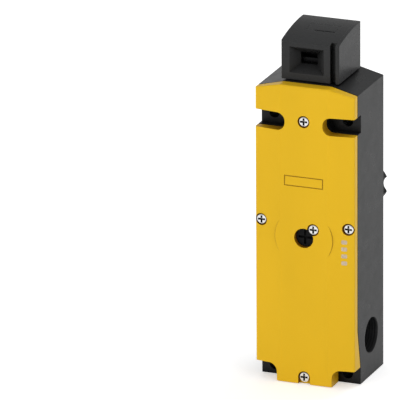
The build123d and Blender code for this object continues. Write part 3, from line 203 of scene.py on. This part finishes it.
class SwitchSizes(PropertyGroup):
    """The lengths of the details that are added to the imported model."""

    edge_radius: FloatProperty(
        name="Moulded edge",
        description="Radius that softens the moulded edges",
        default=0.00035,
        unit="LENGTH",
    )
    grain_size: FloatProperty(
        name="Grain",
        description="Size of the spark-eroded mould grain",
        default=0.00045,
        unit="LENGTH",
    )
    thread_pitch: FloatProperty(
        name="Thread pitch",
        description="Pitch of the cable entry's thread",
        default=0.0015,
        unit="LENGTH",
    )
    wire_pitch: FloatProperty(
        name="Winding pitch",
        description="Pitch of the coil's enamelled wire",
        default=0.0004,
        unit="LENGTH",
    )
    pip_width: FloatProperty(
        name="Pip width",
        description="Width of a printed pip",
        default=0.0031,
        unit="LENGTH",
    )
    pip_height: FloatProperty(
        name="Pip height",
        description="Height of a printed pip",
        default=0.0022,
        unit="LENGTH",
    )
    pip_pitch: FloatProperty(
        name="Pip pitch",
        description="Distance between the pips",
        default=0.00375,
        unit="LENGTH",
    )
    pip_proud: FloatProperty(
        name="Pip relief",
        description="How far a pip stands off the cover",
        default=0.00012,
        unit="LENGTH",
    )
    pip_x: FloatProperty(
        name="Pip column",
        description="Place of the pips across the cover",
        default=0.0216,
        unit="LENGTH",
    )
    pip_top: FloatProperty(
        name="Top pip",
        description="Height of the top pip",
        default=0.0062,
        unit="LENGTH",
    )
    pip_count: IntProperty(
        name="Pips",
        description="Number of pips in the column",
        default=4,
        min=1,
    )


class SwitchColours(PropertyGroup):
    """The colours of the finishes, as linear values."""

    cover: FloatVectorProperty(
        name="Cover",
        description="Golden yellow of the front cover",
        subtype="COLOR",
        size=3,
        default=(0.80, 0.480, 0.012),
    )
    # The colour of the shade painted in the cover's slots and hollows
    cover_painted_shade: FloatVectorProperty(
        name="Cover painted shade",
        description="Amber brown shade painted in the cover's slots",
        subtype="COLOR",
        size=3,
        default=(0.20, 0.060, 0.002),
    )
    housing: FloatVectorProperty(
        name="Housing",
        description="Black of the enclosure and its entry plugs",
        subtype="COLOR",
        size=3,
        default=(0.020, 0.0206, 0.0212),
    )
    head: FloatVectorProperty(
        name="Head",
        description="Black of the actuator head",
        subtype="COLOR",
        size=3,
        default=(0.037, 0.0376, 0.0382),
    )
    rotor: FloatVectorProperty(
        name="Rotor",
        description="Black of the rotor, release and knob",
        subtype="COLOR",
        size=3,
        default=(0.006, 0.006, 0.0065),
    )
    rubber: FloatVectorProperty(
        name="Rubber",
        description="Black of the seals and gasket",
        subtype="COLOR",
        size=3,
        default=(0.010, 0.010, 0.010),
    )
    steel: FloatVectorProperty(
        name="Plated steel",
        description="Zinc plating of the screws",
        subtype="COLOR",
        size=3,
        default=(0.86, 0.86, 0.85),
    )
    iron: FloatVectorProperty(
        name="Iron and steel",
        description="Magnet parts, shafts and springs",
        subtype="COLOR",
        size=3,
        default=(0.50, 0.50, 0.52),
    )
    brass: FloatVectorProperty(
        name="Brass",
        description="Inserts and bushes",
        subtype="COLOR",
        size=3,
        default=(0.78, 0.57, 0.26),
    )
    copper: FloatVectorProperty(
        name="Copper",
        description="Contact strips and winding",
        subtype="COLOR",
        size=3,
        default=(0.80, 0.42, 0.27),
    )
    block: FloatVectorProperty(
        name="Block",
        description="Grey of the moulded contact blocks, bobbin and arm",
        subtype="COLOR",
        size=3,
        default=(0.20, 0.20, 0.21),
    )
    slider: FloatVectorProperty(
        name="Slider",
        description="Natural white of the contact sliders",
        subtype="COLOR",
        size=3,
        default=(0.70, 0.69, 0.65),
    )
    pip: FloatVectorProperty(
        name="Pip",
        description="Pale print of the pips",
        subtype="COLOR",
        size=3,
        default=(0.62, 0.50, 0.36),
    )
    floor: FloatVectorProperty(
        name="Floor",
        description="Pale studio floor",
        subtype="COLOR",
        size=3,
        default=(0.90, 0.90, 0.90),
    )


class SwitchStudio(PropertyGroup):
    """The camera and the power of the lights."""

    azimuth: FloatProperty(
        name="Azimuth",
        description="How far round to the right the camera stands",
        default=radians(21.01),
        subtype="ANGLE",
    )
    elevation: FloatProperty(
        name="Elevation",
        description="How far the camera looks down",
        default=radians(19.02),
        subtype="ANGLE",
    )
    roll: FloatProperty(
        name="Roll",
        description="Turn about the line of sight",
        default=radians(-0.332),
        subtype="ANGLE",
    )
    distance: FloatProperty(
        name="Distance",
        description="From the object's middle to the camera",
        default=5.0,
        unit="LENGTH",
    )
    lens: FloatProperty(
        name="Lens",
        description="Focal length in millimetres",
        default=880.4,
    )
    aim_x: FloatProperty(
        name="Aim across",
        description="Aim point beside the object's middle",
        default=-0.0614,
        unit="LENGTH",
    )
    aim_z: FloatProperty(
        name="Aim up",
        description="Aim point above the object's middle",
        default=0.0044,
        unit="LENGTH",
    )
    key_power: FloatProperty(
        name="Key",
        description="Power of the light on the right",
        default=3.5,
        unit="POWER",
    )
    fill_power: FloatProperty(
        name="Fill",
        description="Power of the light in front",
        default=11.0,
        unit="POWER",
    )
    top_power: FloatProperty(
        name="Top",
        description="Power of the light above",
        default=2.5,
        unit="POWER",
    )
    back_power: FloatProperty(
        name="Back",
        description="Power of the light behind",
        default=6.0,
        unit="POWER",
    )
    ambient: FloatProperty(
        name="Ambient",
        description="Strength of the pale surroundings",
        default=0.55,
    )


def sizes():
    """The lengths as they are set in the scene."""
    return bpy.context.scene.switch_sizes


def colours():
    """The colours as they are set in the scene."""
    return bpy.context.scene.switch_colours


# Node building


def fresh_material(name):
    """A new material with its node tree and its Principled shader."""
    material = bpy.data.materials.new(name)
    material.use_nodes = True
    tree = material.node_tree
    tree.nodes.clear()
    output = tree.nodes.new("ShaderNodeOutputMaterial")
    shader = tree.nodes.new("ShaderNodeBsdfPrincipled")
    tree.links.new(shader.outputs["BSDF"], output.inputs["Surface"])
    return material, tree, shader


def add_node(tree, kind, inputs=None, **settings):
    """A shader node with its settings, and its inputs given as values or as sockets."""
    made = tree.nodes.new(kind)
    for key, value in settings.items():
        setattr(made, key, value)
    for key, value in (inputs or {}).items():
        if isinstance(value, bpy.types.NodeSocket):
            tree.links.new(value, made.inputs[key])
        else:
            made.inputs[key].default_value = value
    return made


def maths(tree, operation, first, second=0.0, third=0.0):
    """The result of one scalar operation."""
    made = add_node(tree, "ShaderNodeMath", {0: first, 1: second, 2: third}, operation=operation)
    return made.outputs[0]


def vector_maths(tree, operation, first, second):
    """The outputs of one operation on two vectors."""
    return add_node(tree, "ShaderNodeVectorMath", {0: first, 1: second}, operation=operation).outputs


def object_place(tree, stretch=(1.0, 1.0, 1.0)):
    """Object coordinates, stretched along an axis where a finish has a direction."""
    place = add_node(tree, "ShaderNodeTexCoord").outputs["Object"]
    return add_node(tree, "ShaderNodeMapping", {"Vector": place, "Scale": stretch}).outputs["Vector"]


def noise(tree, place, size, detail=3.0, rough=0.55):
    """Noise between 0 and 1 whose patches are about this many metres across."""
    inputs = {"Vector": place, "Scale": 1.0 / size, "Detail": detail, "Roughness": rough}
    return add_node(tree, "ShaderNodeTexNoise", inputs).outputs["Fac"]


def spread(tree, value, low, high, start=0.3, end=0.7):
    """A value between start and end carried over to low and high."""
    inputs = {"Value": value, "From Min": start, "From Max": end, "To Min": low, "To Max": high}
    return add_node(tree, "ShaderNodeMapRange", inputs).outputs["Result"]


def shade(tree, colour, factor):
    """The colour made lighter or darker by a factor."""
    inputs = {"Color": (*colour, 1.0), "Value": factor}
    return add_node(tree, "ShaderNodeHueSaturation", inputs).outputs["Color"]


def mix_colour(tree, factor, first, second):
    """The first colour at a factor of 0 and the second at 1."""
    inputs = {MIX_FACTOR: factor, MIX_FIRST: first, MIX_SECOND: second}
    return add_node(tree, "ShaderNodeMix", inputs, data_type="RGBA").outputs[MIX_RESULT]


def bump(tree, height, distance, strength, normal=None):
    """A normal that follows the height, on top of another normal where one is given."""
    inputs = {"Height": height, "Distance": distance, "Strength": strength}
    if normal is not None:
        inputs["Normal"] = normal
    return add_node(tree, "ShaderNodeBump", inputs).outputs["Normal"]


def soft_edge(tree, radius, samples=6):
    """A normal that rounds the piece's edges."""
    return add_node(tree, "ShaderNodeBevel", {"Radius": radius}, samples=samples).outputs["Normal"]


def edge_share(tree, normal):
    """How near a point is to an edge, from 0 on the flat to about 1 on the edge."""
    flat = add_node(tree, "ShaderNodeNewGeometry").outputs["Normal"]
    aligned = vector_maths(tree, "DOT_PRODUCT", normal, flat)["Value"]
    return spread(tree, aligned, low=1.0, high=0.0, start=EDGE_ALIGNED, end=FLAT_ALIGNED)


def painted_shade_share(tree, reach, shut, clear, alone=True):
    """How deep a point lies in a hollow, from 0 in the open to 1, as the mask for painted shade.

    The hollow is the piece's own, or where alone is false also one between neighbours.
    """
    inputs = {"Distance": reach}
    made = add_node(tree, "ShaderNodeAmbientOcclusion", inputs, samples=6, only_local=alone)
    return spread(tree, made.outputs["AO"], low=1.0, high=0.0, start=shut, end=clear)


def entry_thread(tree, centre, axis, pitch, core):
    """The height of an internal thread on the wall of a round entry, and 0 elsewhere."""
    place = add_node(tree, "ShaderNodeTexCoord").outputs["Object"]
    away = vector_maths(tree, "SUBTRACT", place, centre)["Vector"]
    split = add_node(tree, "ShaderNodeSeparateXYZ", {"Vector": away}).outputs
    along = split[axis]
    first, second = [split[other] for other in range(3) if other != axis]
    squares = [maths(tree, "POWER", part, 2.0) for part in (first, second)]
    radius = maths(tree, "SQRT", maths(tree, "ADD", *squares))
    near = maths(tree, "COMPARE", radius, core, WALL_TOLERANCE)
    turned = maths(tree, "DIVIDE", maths(tree, "ARCTAN2", first, second), tau)
    phase = maths(tree, "ADD", maths(tree, "DIVIDE", along, pitch), turned)
    ridge = maths(tree, "PINGPONG", phase, 0.5)
    return maths(tree, "MULTIPLY", maths(tree, "MULTIPLY", ridge, 2.0), near)


# Finishes


def moulded_plastic(
    name,
    colour,
    rough,
    edge_light,
    grain_depth=GRAIN_DEPTH,
    specular=0.25,
    hollows=PLAIN_PAINTED_SHADE,
    painted_shade_colour=None,
    thread=None,
):
    """A moulded thermoplastic.

    It has eroded grain, faint flow marks, edges made a little bright as wear and as painted sheen,
    and painted shade in its hollows.
    """
    material, tree, shader = fresh_material(name)
    shader.inputs["Specular IOR Level"].default_value = specular
    place = object_place(tree)
    rounded = soft_edge(tree, sizes().edge_radius)
    edge = edge_share(tree, rounded)
    flow = noise(tree, object_place(tree, FLOW_STRETCH), FLOW_SIZE, detail=2.0)
    base = shade(tree, colour, spread(tree, flow, low=0.965, high=1.03))
    # Edges a little lighter: partly wear, partly a painted sheen
    worn_and_sheen = shade(tree, [min(1.0, part * edge_light) for part in colour], 1.0)
    coloured = mix_colour(tree, maths(tree, "MULTIPLY", edge, EDGE_WEAR_AND_SHEEN), base, worn_and_sheen)
    # Painted shade: deep in hollows the colour goes over to a dark shade colour
    depth = maths(tree, "MULTIPLY", painted_shade_share(tree, **hollows), PAINTED_SHADE_STRENGTH)
    dark = shade(tree, painted_shade_colour or [part * PAINTED_SHADE_TONE for part in colour], 1.0)
    tree.links.new(mix_colour(tree, depth, coloured, dark), shader.inputs["Base Color"])
    patches = noise(tree, place, GLOSS_PATCH_SIZE, detail=4.0)
    uneven = spread(tree, patches, low=rough - 0.04, high=rough + 0.05)
    tree.links.new(uneven, shader.inputs["Roughness"])
    grain = noise(tree, place, sizes().grain_size, detail=2.0, rough=0.6)
    normal = bump(tree, grain, grain_depth, strength=0.35, normal=rounded)
    if thread:
        normal = bump(tree, thread(tree), THREAD_DEPTH, strength=0.4, normal=normal)
    tree.links.new(normal, shader.inputs["Normal"])
    return material


def plated_metal(name, colour, rough, stretch, painted_shade_darkness=0.0):
    """Plated or turned metal: fine tool marks along one axis, cloudy plating and clean edges."""
    material, tree, shader = fresh_material(name)
    shader.inputs["Metallic"].default_value = 1.0
    clouds = noise(tree, object_place(tree), PLATING_CLOUD_SIZE)
    base = shade(tree, colour, spread(tree, clouds, low=0.93, high=1.04))
    # Painted shade: the metal goes darker deep in its hollows
    if painted_shade_darkness:
        dark = shade(tree, [part * (1.0 - painted_shade_darkness) for part in colour], 1.0)
        base = mix_colour(tree, painted_shade_share(tree, **METAL_PAINTED_SHADE), base, dark)
    tree.links.new(base, shader.inputs["Base Color"])
    marks = noise(tree, object_place(tree, stretch), TOOL_MARK_SIZE, detail=4.0, rough=0.7)
    uneven = spread(tree, marks, low=rough - 0.06, high=rough + 0.10)
    tree.links.new(uneven, shader.inputs["Roughness"])
    rounded = soft_edge(tree, METAL_EDGE_RADIUS)
    normal = bump(tree, marks, TOOL_MARK_DEPTH, strength=0.3, normal=rounded)
    tree.links.new(normal, shader.inputs["Normal"])
    return material


def seal_rubber():
    """Matt black seal rubber with a dusty bloom."""
    material, tree, shader = fresh_material("seal rubber")
    place = object_place(tree)
    bloom = spread(tree, noise(tree, place, BLOOM_SIZE, detail=5.0), low=0.8, high=1.7)
    tree.links.new(shade(tree, colours().rubber, bloom), shader.inputs["Base Color"])
    rough = spread(tree, noise(tree, place, RUBBER_GLOSS_SIZE), low=0.62, high=0.82)
    tree.links.new(rough, shader.inputs["Roughness"])
    grain = noise(tree, place, RUBBER_GRAIN_SIZE)
    normal = bump(tree, grain, FINE_GRAIN_DEPTH, strength=0.4)
    tree.links.new(normal, shader.inputs["Normal"])
    return material


def enamelled_winding():
    """Layers of fine enamelled wire round the bobbin, with painted shade between the wires."""
    material, tree, shader = fresh_material("enamelled winding")
    shader.inputs["Metallic"].default_value = 0.7
    place = add_node(tree, "ShaderNodeTexCoord").outputs["Object"]
    height = add_node(tree, "ShaderNodeSeparateXYZ", {"Vector": place}).outputs["Z"]
    wave = maths(tree, "SINE", maths(tree, "MULTIPLY", height, tau / sizes().wire_pitch))
    # Painted shade: the copper is darker in the grooves between the wires, where the bump is low
    tone = spread(tree, wave, low=0.45, high=1.0, start=-1.0, end=1.0)
    tree.links.new(shade(tree, colours().copper, tone), shader.inputs["Base Color"])
    rough = spread(tree, noise(tree, place, WINDING_GLOSS_SIZE), low=0.25, high=0.42)
    tree.links.new(rough, shader.inputs["Roughness"])
    tree.links.new(bump(tree, wave, WIRE_DEPTH, strength=0.5), shader.inputs["Normal"])
    return material


def printed_pip():
    """Pale print of a slightly uneven tone."""
    material, tree, shader = fresh_material("printed pip")
    place = object_place(tree)
    tone = spread(tree, noise(tree, place, PRINT_TONE_SIZE, detail=4.0), low=0.72, high=1.12)
    tree.links.new(shade(tree, colours().pip, tone), shader.inputs["Base Color"])
    rough = spread(tree, noise(tree, place, PRINT_GLOSS_SIZE), low=0.4, high=0.6)
    tree.links.new(rough, shader.inputs["Roughness"])
    grain = noise(tree, place, PRINT_GRAIN_SIZE)
    normal = bump(tree, grain, SMOOTH_GRAIN_DEPTH, strength=0.4)
    tree.links.new(normal, shader.inputs["Normal"])
    return material


def dress(names, material):
    """Gives CAD nodes one finish, in place of every material that they have."""
    for name in names:
        mesh = NODES[name].data
        mesh.materials.clear()
        mesh.materials.append(material)


class SWITCH_OT_enclosure(Operator):
    """Gives the housing and its entry plugs their black moulded finish and threaded entry"""

    bl_idname = "switch.enclosure"
    bl_label = "Enclosure"

    def execute(self, context):
        low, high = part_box("left_entry_plug")
        centre = (0.0, (low[1] + high[1]) / 2, (low[2] + high[2]) / 2)
        core = (high[2] - low[2]) / 2 + PLUG_CLEARANCE

        def thread(tree):
            return entry_thread(tree, centre, 0, sizes().thread_pitch, core)

        black = colours().housing
        shell = moulded_plastic(
            "housing plastic",
            black,
            rough=0.30,
            edge_light=1.6,
            specular=0.10,
            hollows=HOUSING_PAINTED_SHADE,
            thread=thread,
        )
        dress(["housing"], shell)
        dress(PLUG_NODES, moulded_plastic("plug plastic", black, rough=0.36, edge_light=1.5))
        return {"FINISHED"}


class SWITCH_OT_cover(Operator):
    """Gives the front cover its golden yellow moulded finish"""

    bl_idname = "switch.cover"
    bl_label = "Front cover"

    def execute(self, context):
        tones = colours()
        yellow = moulded_plastic(
            "cover plastic",
            tones.cover,
            rough=0.40,
            edge_light=1.12,
            specular=0.2,
            hollows=COVER_PAINTED_SHADE,
            painted_shade_colour=tones.cover_painted_shade,
        )
        dress(["front_cover"], yellow)
        return {"FINISHED"}


class SWITCH_OT_head(Operator):
    """Gives the actuator head, rotor, release and knob their black finishes"""

    bl_idname = "switch.head"
    bl_label = "Actuator head and controls"

    def execute(self, context):
        tones = colours()
        head = moulded_plastic(
            "head plastic",
            tones.head,
            rough=0.28,
            edge_light=1.9,
            specular=0.08,
            hollows=HEAD_PAINTED_SHADE,
        )
        dress(HEAD_NODES, head)
        rotor = moulded_plastic(
            "rotor plastic",
            tones.rotor,
            rough=0.45,
            edge_light=2.2,
            grain_depth=FINE_GRAIN_DEPTH,
            specular=0.1,
        )
        dress(ROTOR_NODES, rotor)
        return {"FINISHED"}


class SWITCH_OT_metalwork(Operator):
    """Gives the screws, shafts, springs and magnet parts their metal finishes"""

    bl_idname = "switch.metalwork"
    bl_label = "Metalwork"

    def execute(self, context):
        tones = colours()
        zinc = plated_metal("zinc plated steel", tones.steel, 0.22, TURNED_MARKS, painted_shade_darkness=0.98)
        dress(SCREW_NODES, zinc)
        dress(SHAFT_NODES, plated_metal("turned steel", tones.iron, 0.28, SHAFT_MARKS))
        plate = plated_metal("plated iron", tones.iron, 0.38, PLATE_MARKS, painted_shade_darkness=0.3)
        dress(IRON_NODES, plate)
        wire = plated_metal("spring wire", tones.iron, 0.26, WIRE_MARKS, painted_shade_darkness=0.4)
        dress(SPRING_NODES, wire)
        brass = plated_metal("turned brass", tones.brass, 0.27, TURNED_MARKS, painted_shade_darkness=0.3)
        dress(BRASS_NODES, brass)
        strip = plated_metal("copper strip", tones.copper, 0.24, STRIP_MARKS, painted_shade_darkness=0.3)
        dress(COPPER_NODES, strip)
        return {"FINISHED"}


class SWITCH_OT_inside(Operator):
    """Gives the contact blocks, sliders, winding and seals their finishes"""

    bl_idname = "switch.inside"
    bl_label = "Inner parts"

    def execute(self, context):
        tones = colours()
        block = moulded_plastic(
            "block plastic",
            tones.block,
            rough=0.45,
            edge_light=1.3,
            grain_depth=FINE_GRAIN_DEPTH,
        )
        dress(BLOCK_NODES, block)
        slider = moulded_plastic(
            "slider plastic",
            tones.slider,
            rough=0.40,
            edge_light=1.1,
            grain_depth=SMOOTH_GRAIN_DEPTH,
        )
        dress(SLIDER_NODES, slider)
        dress(["coil_winding"], enamelled_winding())
        dress(RUBBER_NODES, seal_rubber())
        return {"FINISHED"}


# New pieces


def deselect_all():
    """Leaves edit mode and selects nothing."""
    if bpy.context.mode != "OBJECT":
        bpy.ops.object.mode_set(mode="OBJECT")
    bpy.ops.object.select_all(action="DESELECT")


def loose_coil(context, name):
    """A copy of a CAD spring, with its vertices merged and its shading smoothed, in the spring's own
    finish.
    """
    deselect_all()
    coil = bpy.data.objects.new(f"{name}_coil", NODES[name].data.copy())
    context.collection.objects.link(coil)
    context.view_layer.objects.active = coil
    coil.select_set(True)
    bpy.ops.object.mode_set(mode="EDIT")
    bpy.ops.mesh.select_all(action="SELECT")
    bpy.ops.mesh.remove_doubles(threshold=MERGE_DISTANCE)
    bpy.ops.object.mode_set(mode="OBJECT")
    bpy.ops.object.shade_smooth_by_angle(angle=SMOOTH_ANGLE)
    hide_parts(name)
    return coil


class SWITCH_OT_springs(Operator):
    """Makes loose copies of the springs, and hands the armature's springs to the armature"""

    bl_idname = "switch.springs"
    bl_label = "Springs"

    def execute(self, context):
        for name in SHORTENING_SPRINGS:
            coil = loose_coil(context, name)
            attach(coil, "armature")
            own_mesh(coil)
        for name, body in LENGTHENING_SPRINGS.items():
            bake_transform(loose_coil(context, name))
        return {"FINISHED"}


def facet_place(x, z):
    """Where a flat piece lies on the cover's right facet, facing forward."""
    fall = FACET_FALL * (x - FLAT_HALF) / (HALF_WIDTH - FLAT_HALF)
    turn = atan2(FACET_FALL, HALF_WIDTH - FLAT_HALF)
    return Matrix.Translation(Vector((x, FRONT_Y + fall, z))) @ Matrix.Rotation(turn, 4, "Z")


def settle(piece, place):
    """Puts the piece's place in its mesh and leaves its object at the origin."""
    piece.matrix_world = Matrix.Identity(4)
    piece.data.transform(place)
    piece.data.update()


def own(piece, body, material):
    """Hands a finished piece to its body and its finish."""
    piece.data.materials.clear()
    piece.data.materials.append(material)
    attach(piece, body)


def raised_pip(context, size):
    """One pip, lying flat at the origin: a rounded plate with a sloping rim.

    It reaches as far under the cover's surface as it stands off it.
    """
    deselect_all()
    bpy.ops.mesh.primitive_plane_add(size=1.0)
    pip = context.active_object
    pip.scale = (size.pip_width, size.pip_height, 1.0)
    bpy.ops.object.transform_apply(scale=True)
    bpy.ops.object.mode_set(mode="EDIT")
    bpy.ops.mesh.select_all(action="SELECT")
    bpy.ops.mesh.bevel(offset=size.pip_height * PIP_CORNER, segments=5, affect="VERTICES")
    bpy.ops.mesh.select_all(action="SELECT")
    bpy.ops.mesh.inset(thickness=size.pip_height * PIP_RIM)
    bpy.ops.transform.translate(value=(0.0, 0.0, size.pip_proud))
    bpy.ops.object.mode_set(mode="OBJECT")
    solid = pip.modifiers.new("Thickness", "SOLIDIFY")
    solid.thickness = size.pip_proud * 2
    solid.offset = -1.0
    bpy.ops.object.modifier_apply(modifier=solid.name)
    return pip


class SWITCH_OT_pips(Operator):
    """Adds the column of pale pips on the cover's right facet"""

    bl_idname = "switch.pips"
    bl_label = "Printed pips"

    def execute(self, context):
        size = sizes()
        pip = raised_pip(context, size)
        shape = pip.data.copy()
        upright = Matrix.Rotation(pi / 2, 4, "X")
        finish = printed_pip()
        for index in range(size.pip_count):
            piece = pip
            if index:
                piece = pip.copy()
                piece.data = shape.copy()
                context.collection.objects.link(piece)
            piece.name = f"cover_pip_{index + 1}"
            height = size.pip_top - index * size.pip_pitch
            settle(piece, facet_place(size.pip_x, height) @ upright)
            own(piece, "housing", finish)
        return {"FINISHED"}


# Studio


def area_light(name, place, size, power):
    """A soft lamp aimed at the object's middle, which mirrored rays don't see."""
    data = bpy.data.lights.new(name, "AREA")
    data.shape = "RECTANGLE"
    data.size, data.size_y = size
    data.energy = power
    lamp = bpy.data.objects.new(name, data)
    lamp.visible_glossy = False
    bpy.context.collection.objects.link(lamp)
    lamp.location = place
    lamp.rotation_euler = (MIDDLE - Vector(place)).to_track_quat("-Z", "Y").to_euler()


def pale_floor():
    """A pale floor that keeps a soft shadow and is white to the camera where nothing shades it."""
    material, tree, shader = fresh_material("pale floor")
    output = next(made for made in tree.nodes if made.type == "OUTPUT_MATERIAL")
    mottle = spread(tree, noise(tree, object_place(tree), MOTTLE_SIZE), low=0.99, high=1.0)
    tree.links.new(shade(tree, colours().floor, mottle), shader.inputs["Base Color"])
    shader.inputs["Roughness"].default_value = 0.8
    shader.inputs["Specular IOR Level"].default_value = 0.0
    rays = add_node(tree, "ShaderNodeLightPath").outputs
    mirrored = maths(tree, "MULTIPLY", rays["Is Glossy Ray"], FLOOR_MIRRORED)
    seen = maths(tree, "MULTIPLY_ADD", rays["Is Camera Ray"], FLOOR_GLOW, mirrored)
    glow = add_node(tree, "ShaderNodeEmission", {"Strength": seen})
    parts = {0: shader.outputs["BSDF"], 1: glow.outputs["Emission"]}
    both = add_node(tree, "ShaderNodeAddShader", parts)
    tree.links.new(both.outputs["Shader"], output.inputs["Surface"])
    return material


def surroundings(strength):
    """White to camera and transmitted rays, and a plain soft grey light to diffuse rays.

    Mirrored rays see white low down and grey overhead.
    """
    world = bpy.data.worlds.new("surroundings")
    world.use_nodes = True
    tree = world.node_tree
    tree.nodes.clear()
    rays = add_node(tree, "ShaderNodeLightPath").outputs
    white = maths(tree, "MAXIMUM", rays["Is Camera Ray"], rays["Is Transmission Ray"])
    upward = add_node(tree, "ShaderNodeTexCoord").outputs["Generated"]
    height = add_node(tree, "ShaderNodeSeparateXYZ", {"Vector": upward}).outputs["Z"]
    band = spread(tree, height, MIRRORED_LOW, MIRRORED_OVERHEAD, MIRRORED_FROM, MIRRORED_TO)
    mirrored = maths(tree, "MULTIPLY", rays["Is Glossy Ray"], band)
    others = maths(tree, "SUBTRACT", 1.0, rays["Is Glossy Ray"])
    soft = maths(tree, "MULTIPLY", others, strength)
    level = maths(tree, "MAXIMUM", maths(tree, "MAXIMUM", white, mirrored), soft)
    inputs = {"Color": (1.0, 1.0, 1.0, 1.0), "Strength": level}
    background = add_node(tree, "ShaderNodeBackground", inputs)
    output = tree.nodes.new("ShaderNodeOutputWorld")
    tree.links.new(background.outputs["Background"], output.inputs["Surface"])
    bpy.context.scene.world = world


def studio_camera(studio):
    """A long lens at the photograph's angle."""
    data = bpy.data.cameras.new("camera")
    camera = bpy.data.objects.new("camera", data)
    bpy.context.collection.objects.link(camera)
    turn, lift = studio.azimuth, studio.elevation
    back = Vector((sin(turn) * cos(lift), -cos(turn) * cos(lift), sin(lift)))
    aim = MIDDLE + Vector((studio.aim_x * cos(turn), studio.aim_x * sin(turn), studio.aim_z))
    camera.location = MIDDLE + back * studio.distance
    look = (aim - camera.location).to_track_quat("-Z", "Y")
    camera.rotation_euler = (look @ Euler((0.0, 0.0, studio.roll)).to_quaternion()).to_euler()
    data.lens = studio.lens
    data.clip_start, data.clip_end = CLIP_RANGE
    return camera


class SWITCH_OT_stage(Operator):
    """Adds the floor, the soft lights and the camera"""

    bl_idname = "switch.stage"
    bl_label = "Studio"

    def execute(self, context):
        studio = context.scene.switch_studio
        deselect_all()
        bpy.ops.mesh.primitive_plane_add(size=FLOOR_WIDTH, location=(0.0, 0.0, FOOT_Z - FLOOR_GAP))
        floor = context.active_object
        floor.name = "studio_floor"
        floor.data.materials.append(pale_floor())
        for name, (place, size) in LAMPS.items():
            area_light(name, place, size, getattr(studio, f"{name}_power"))
        surroundings(studio.ambient)
        context.scene.camera = studio_camera(studio)
        context.scene.view_settings.view_transform = "Standard"
        return {"FINISHED"}


class SWITCH_PT_panel(Panel):
    """Lists the sizes, colours and studio settings, and the steps that dress the switch"""

    bl_idname = "SWITCH_PT_panel"
    bl_label = "Tongue interlock switch"
    bl_space_type = "VIEW_3D"
    bl_region_type = "UI"
    bl_category = "Switch"

    def draw(self, context):
        for group in ("switch_sizes", "switch_colours", "switch_studio"):
            settings = getattr(context.scene, group)
            box = self.layout.box()
            for key in settings.bl_rna.properties.keys():
                if key not in ("rna_type", "name"):
                    box.prop(settings, key)
        for operator in OPERATORS:
            self.layout.operator(operator.bl_idname)


OPERATORS = (
    SWITCH_OT_enclosure,
    SWITCH_OT_cover,
    SWITCH_OT_head,
    SWITCH_OT_metalwork,
    SWITCH_OT_inside,
    SWITCH_OT_springs,
    SWITCH_OT_pips,
    SWITCH_OT_stage,
)
CLASSES = (SwitchSizes, SwitchColours, SwitchStudio, *OPERATORS, SWITCH_PT_panel)


def register():
    for made in CLASSES:
        bpy.utils.register_class(made)
    bpy.types.Scene.switch_sizes = PointerProperty(type=SwitchSizes)
    bpy.types.Scene.switch_colours = PointerProperty(type=SwitchColours)
    bpy.types.Scene.switch_studio = PointerProperty(type=SwitchStudio)


def unregister():
    del bpy.types.Scene.switch_studio
    del bpy.types.Scene.switch_colours
    del bpy.types.Scene.switch_sizes
    for made in reversed(CLASSES):
        bpy.utils.unregister_class(made)


def main():
    register()
    bpy.ops.switch.enclosure()
    bpy.ops.switch.cover()
    bpy.ops.switch.head()
    bpy.ops.switch.metalwork()
    bpy.ops.switch.inside()
    bpy.ops.switch.springs()
    bpy.ops.switch.pips()
    bpy.ops.switch.stage()


if __name__ == "__main__":
    main()
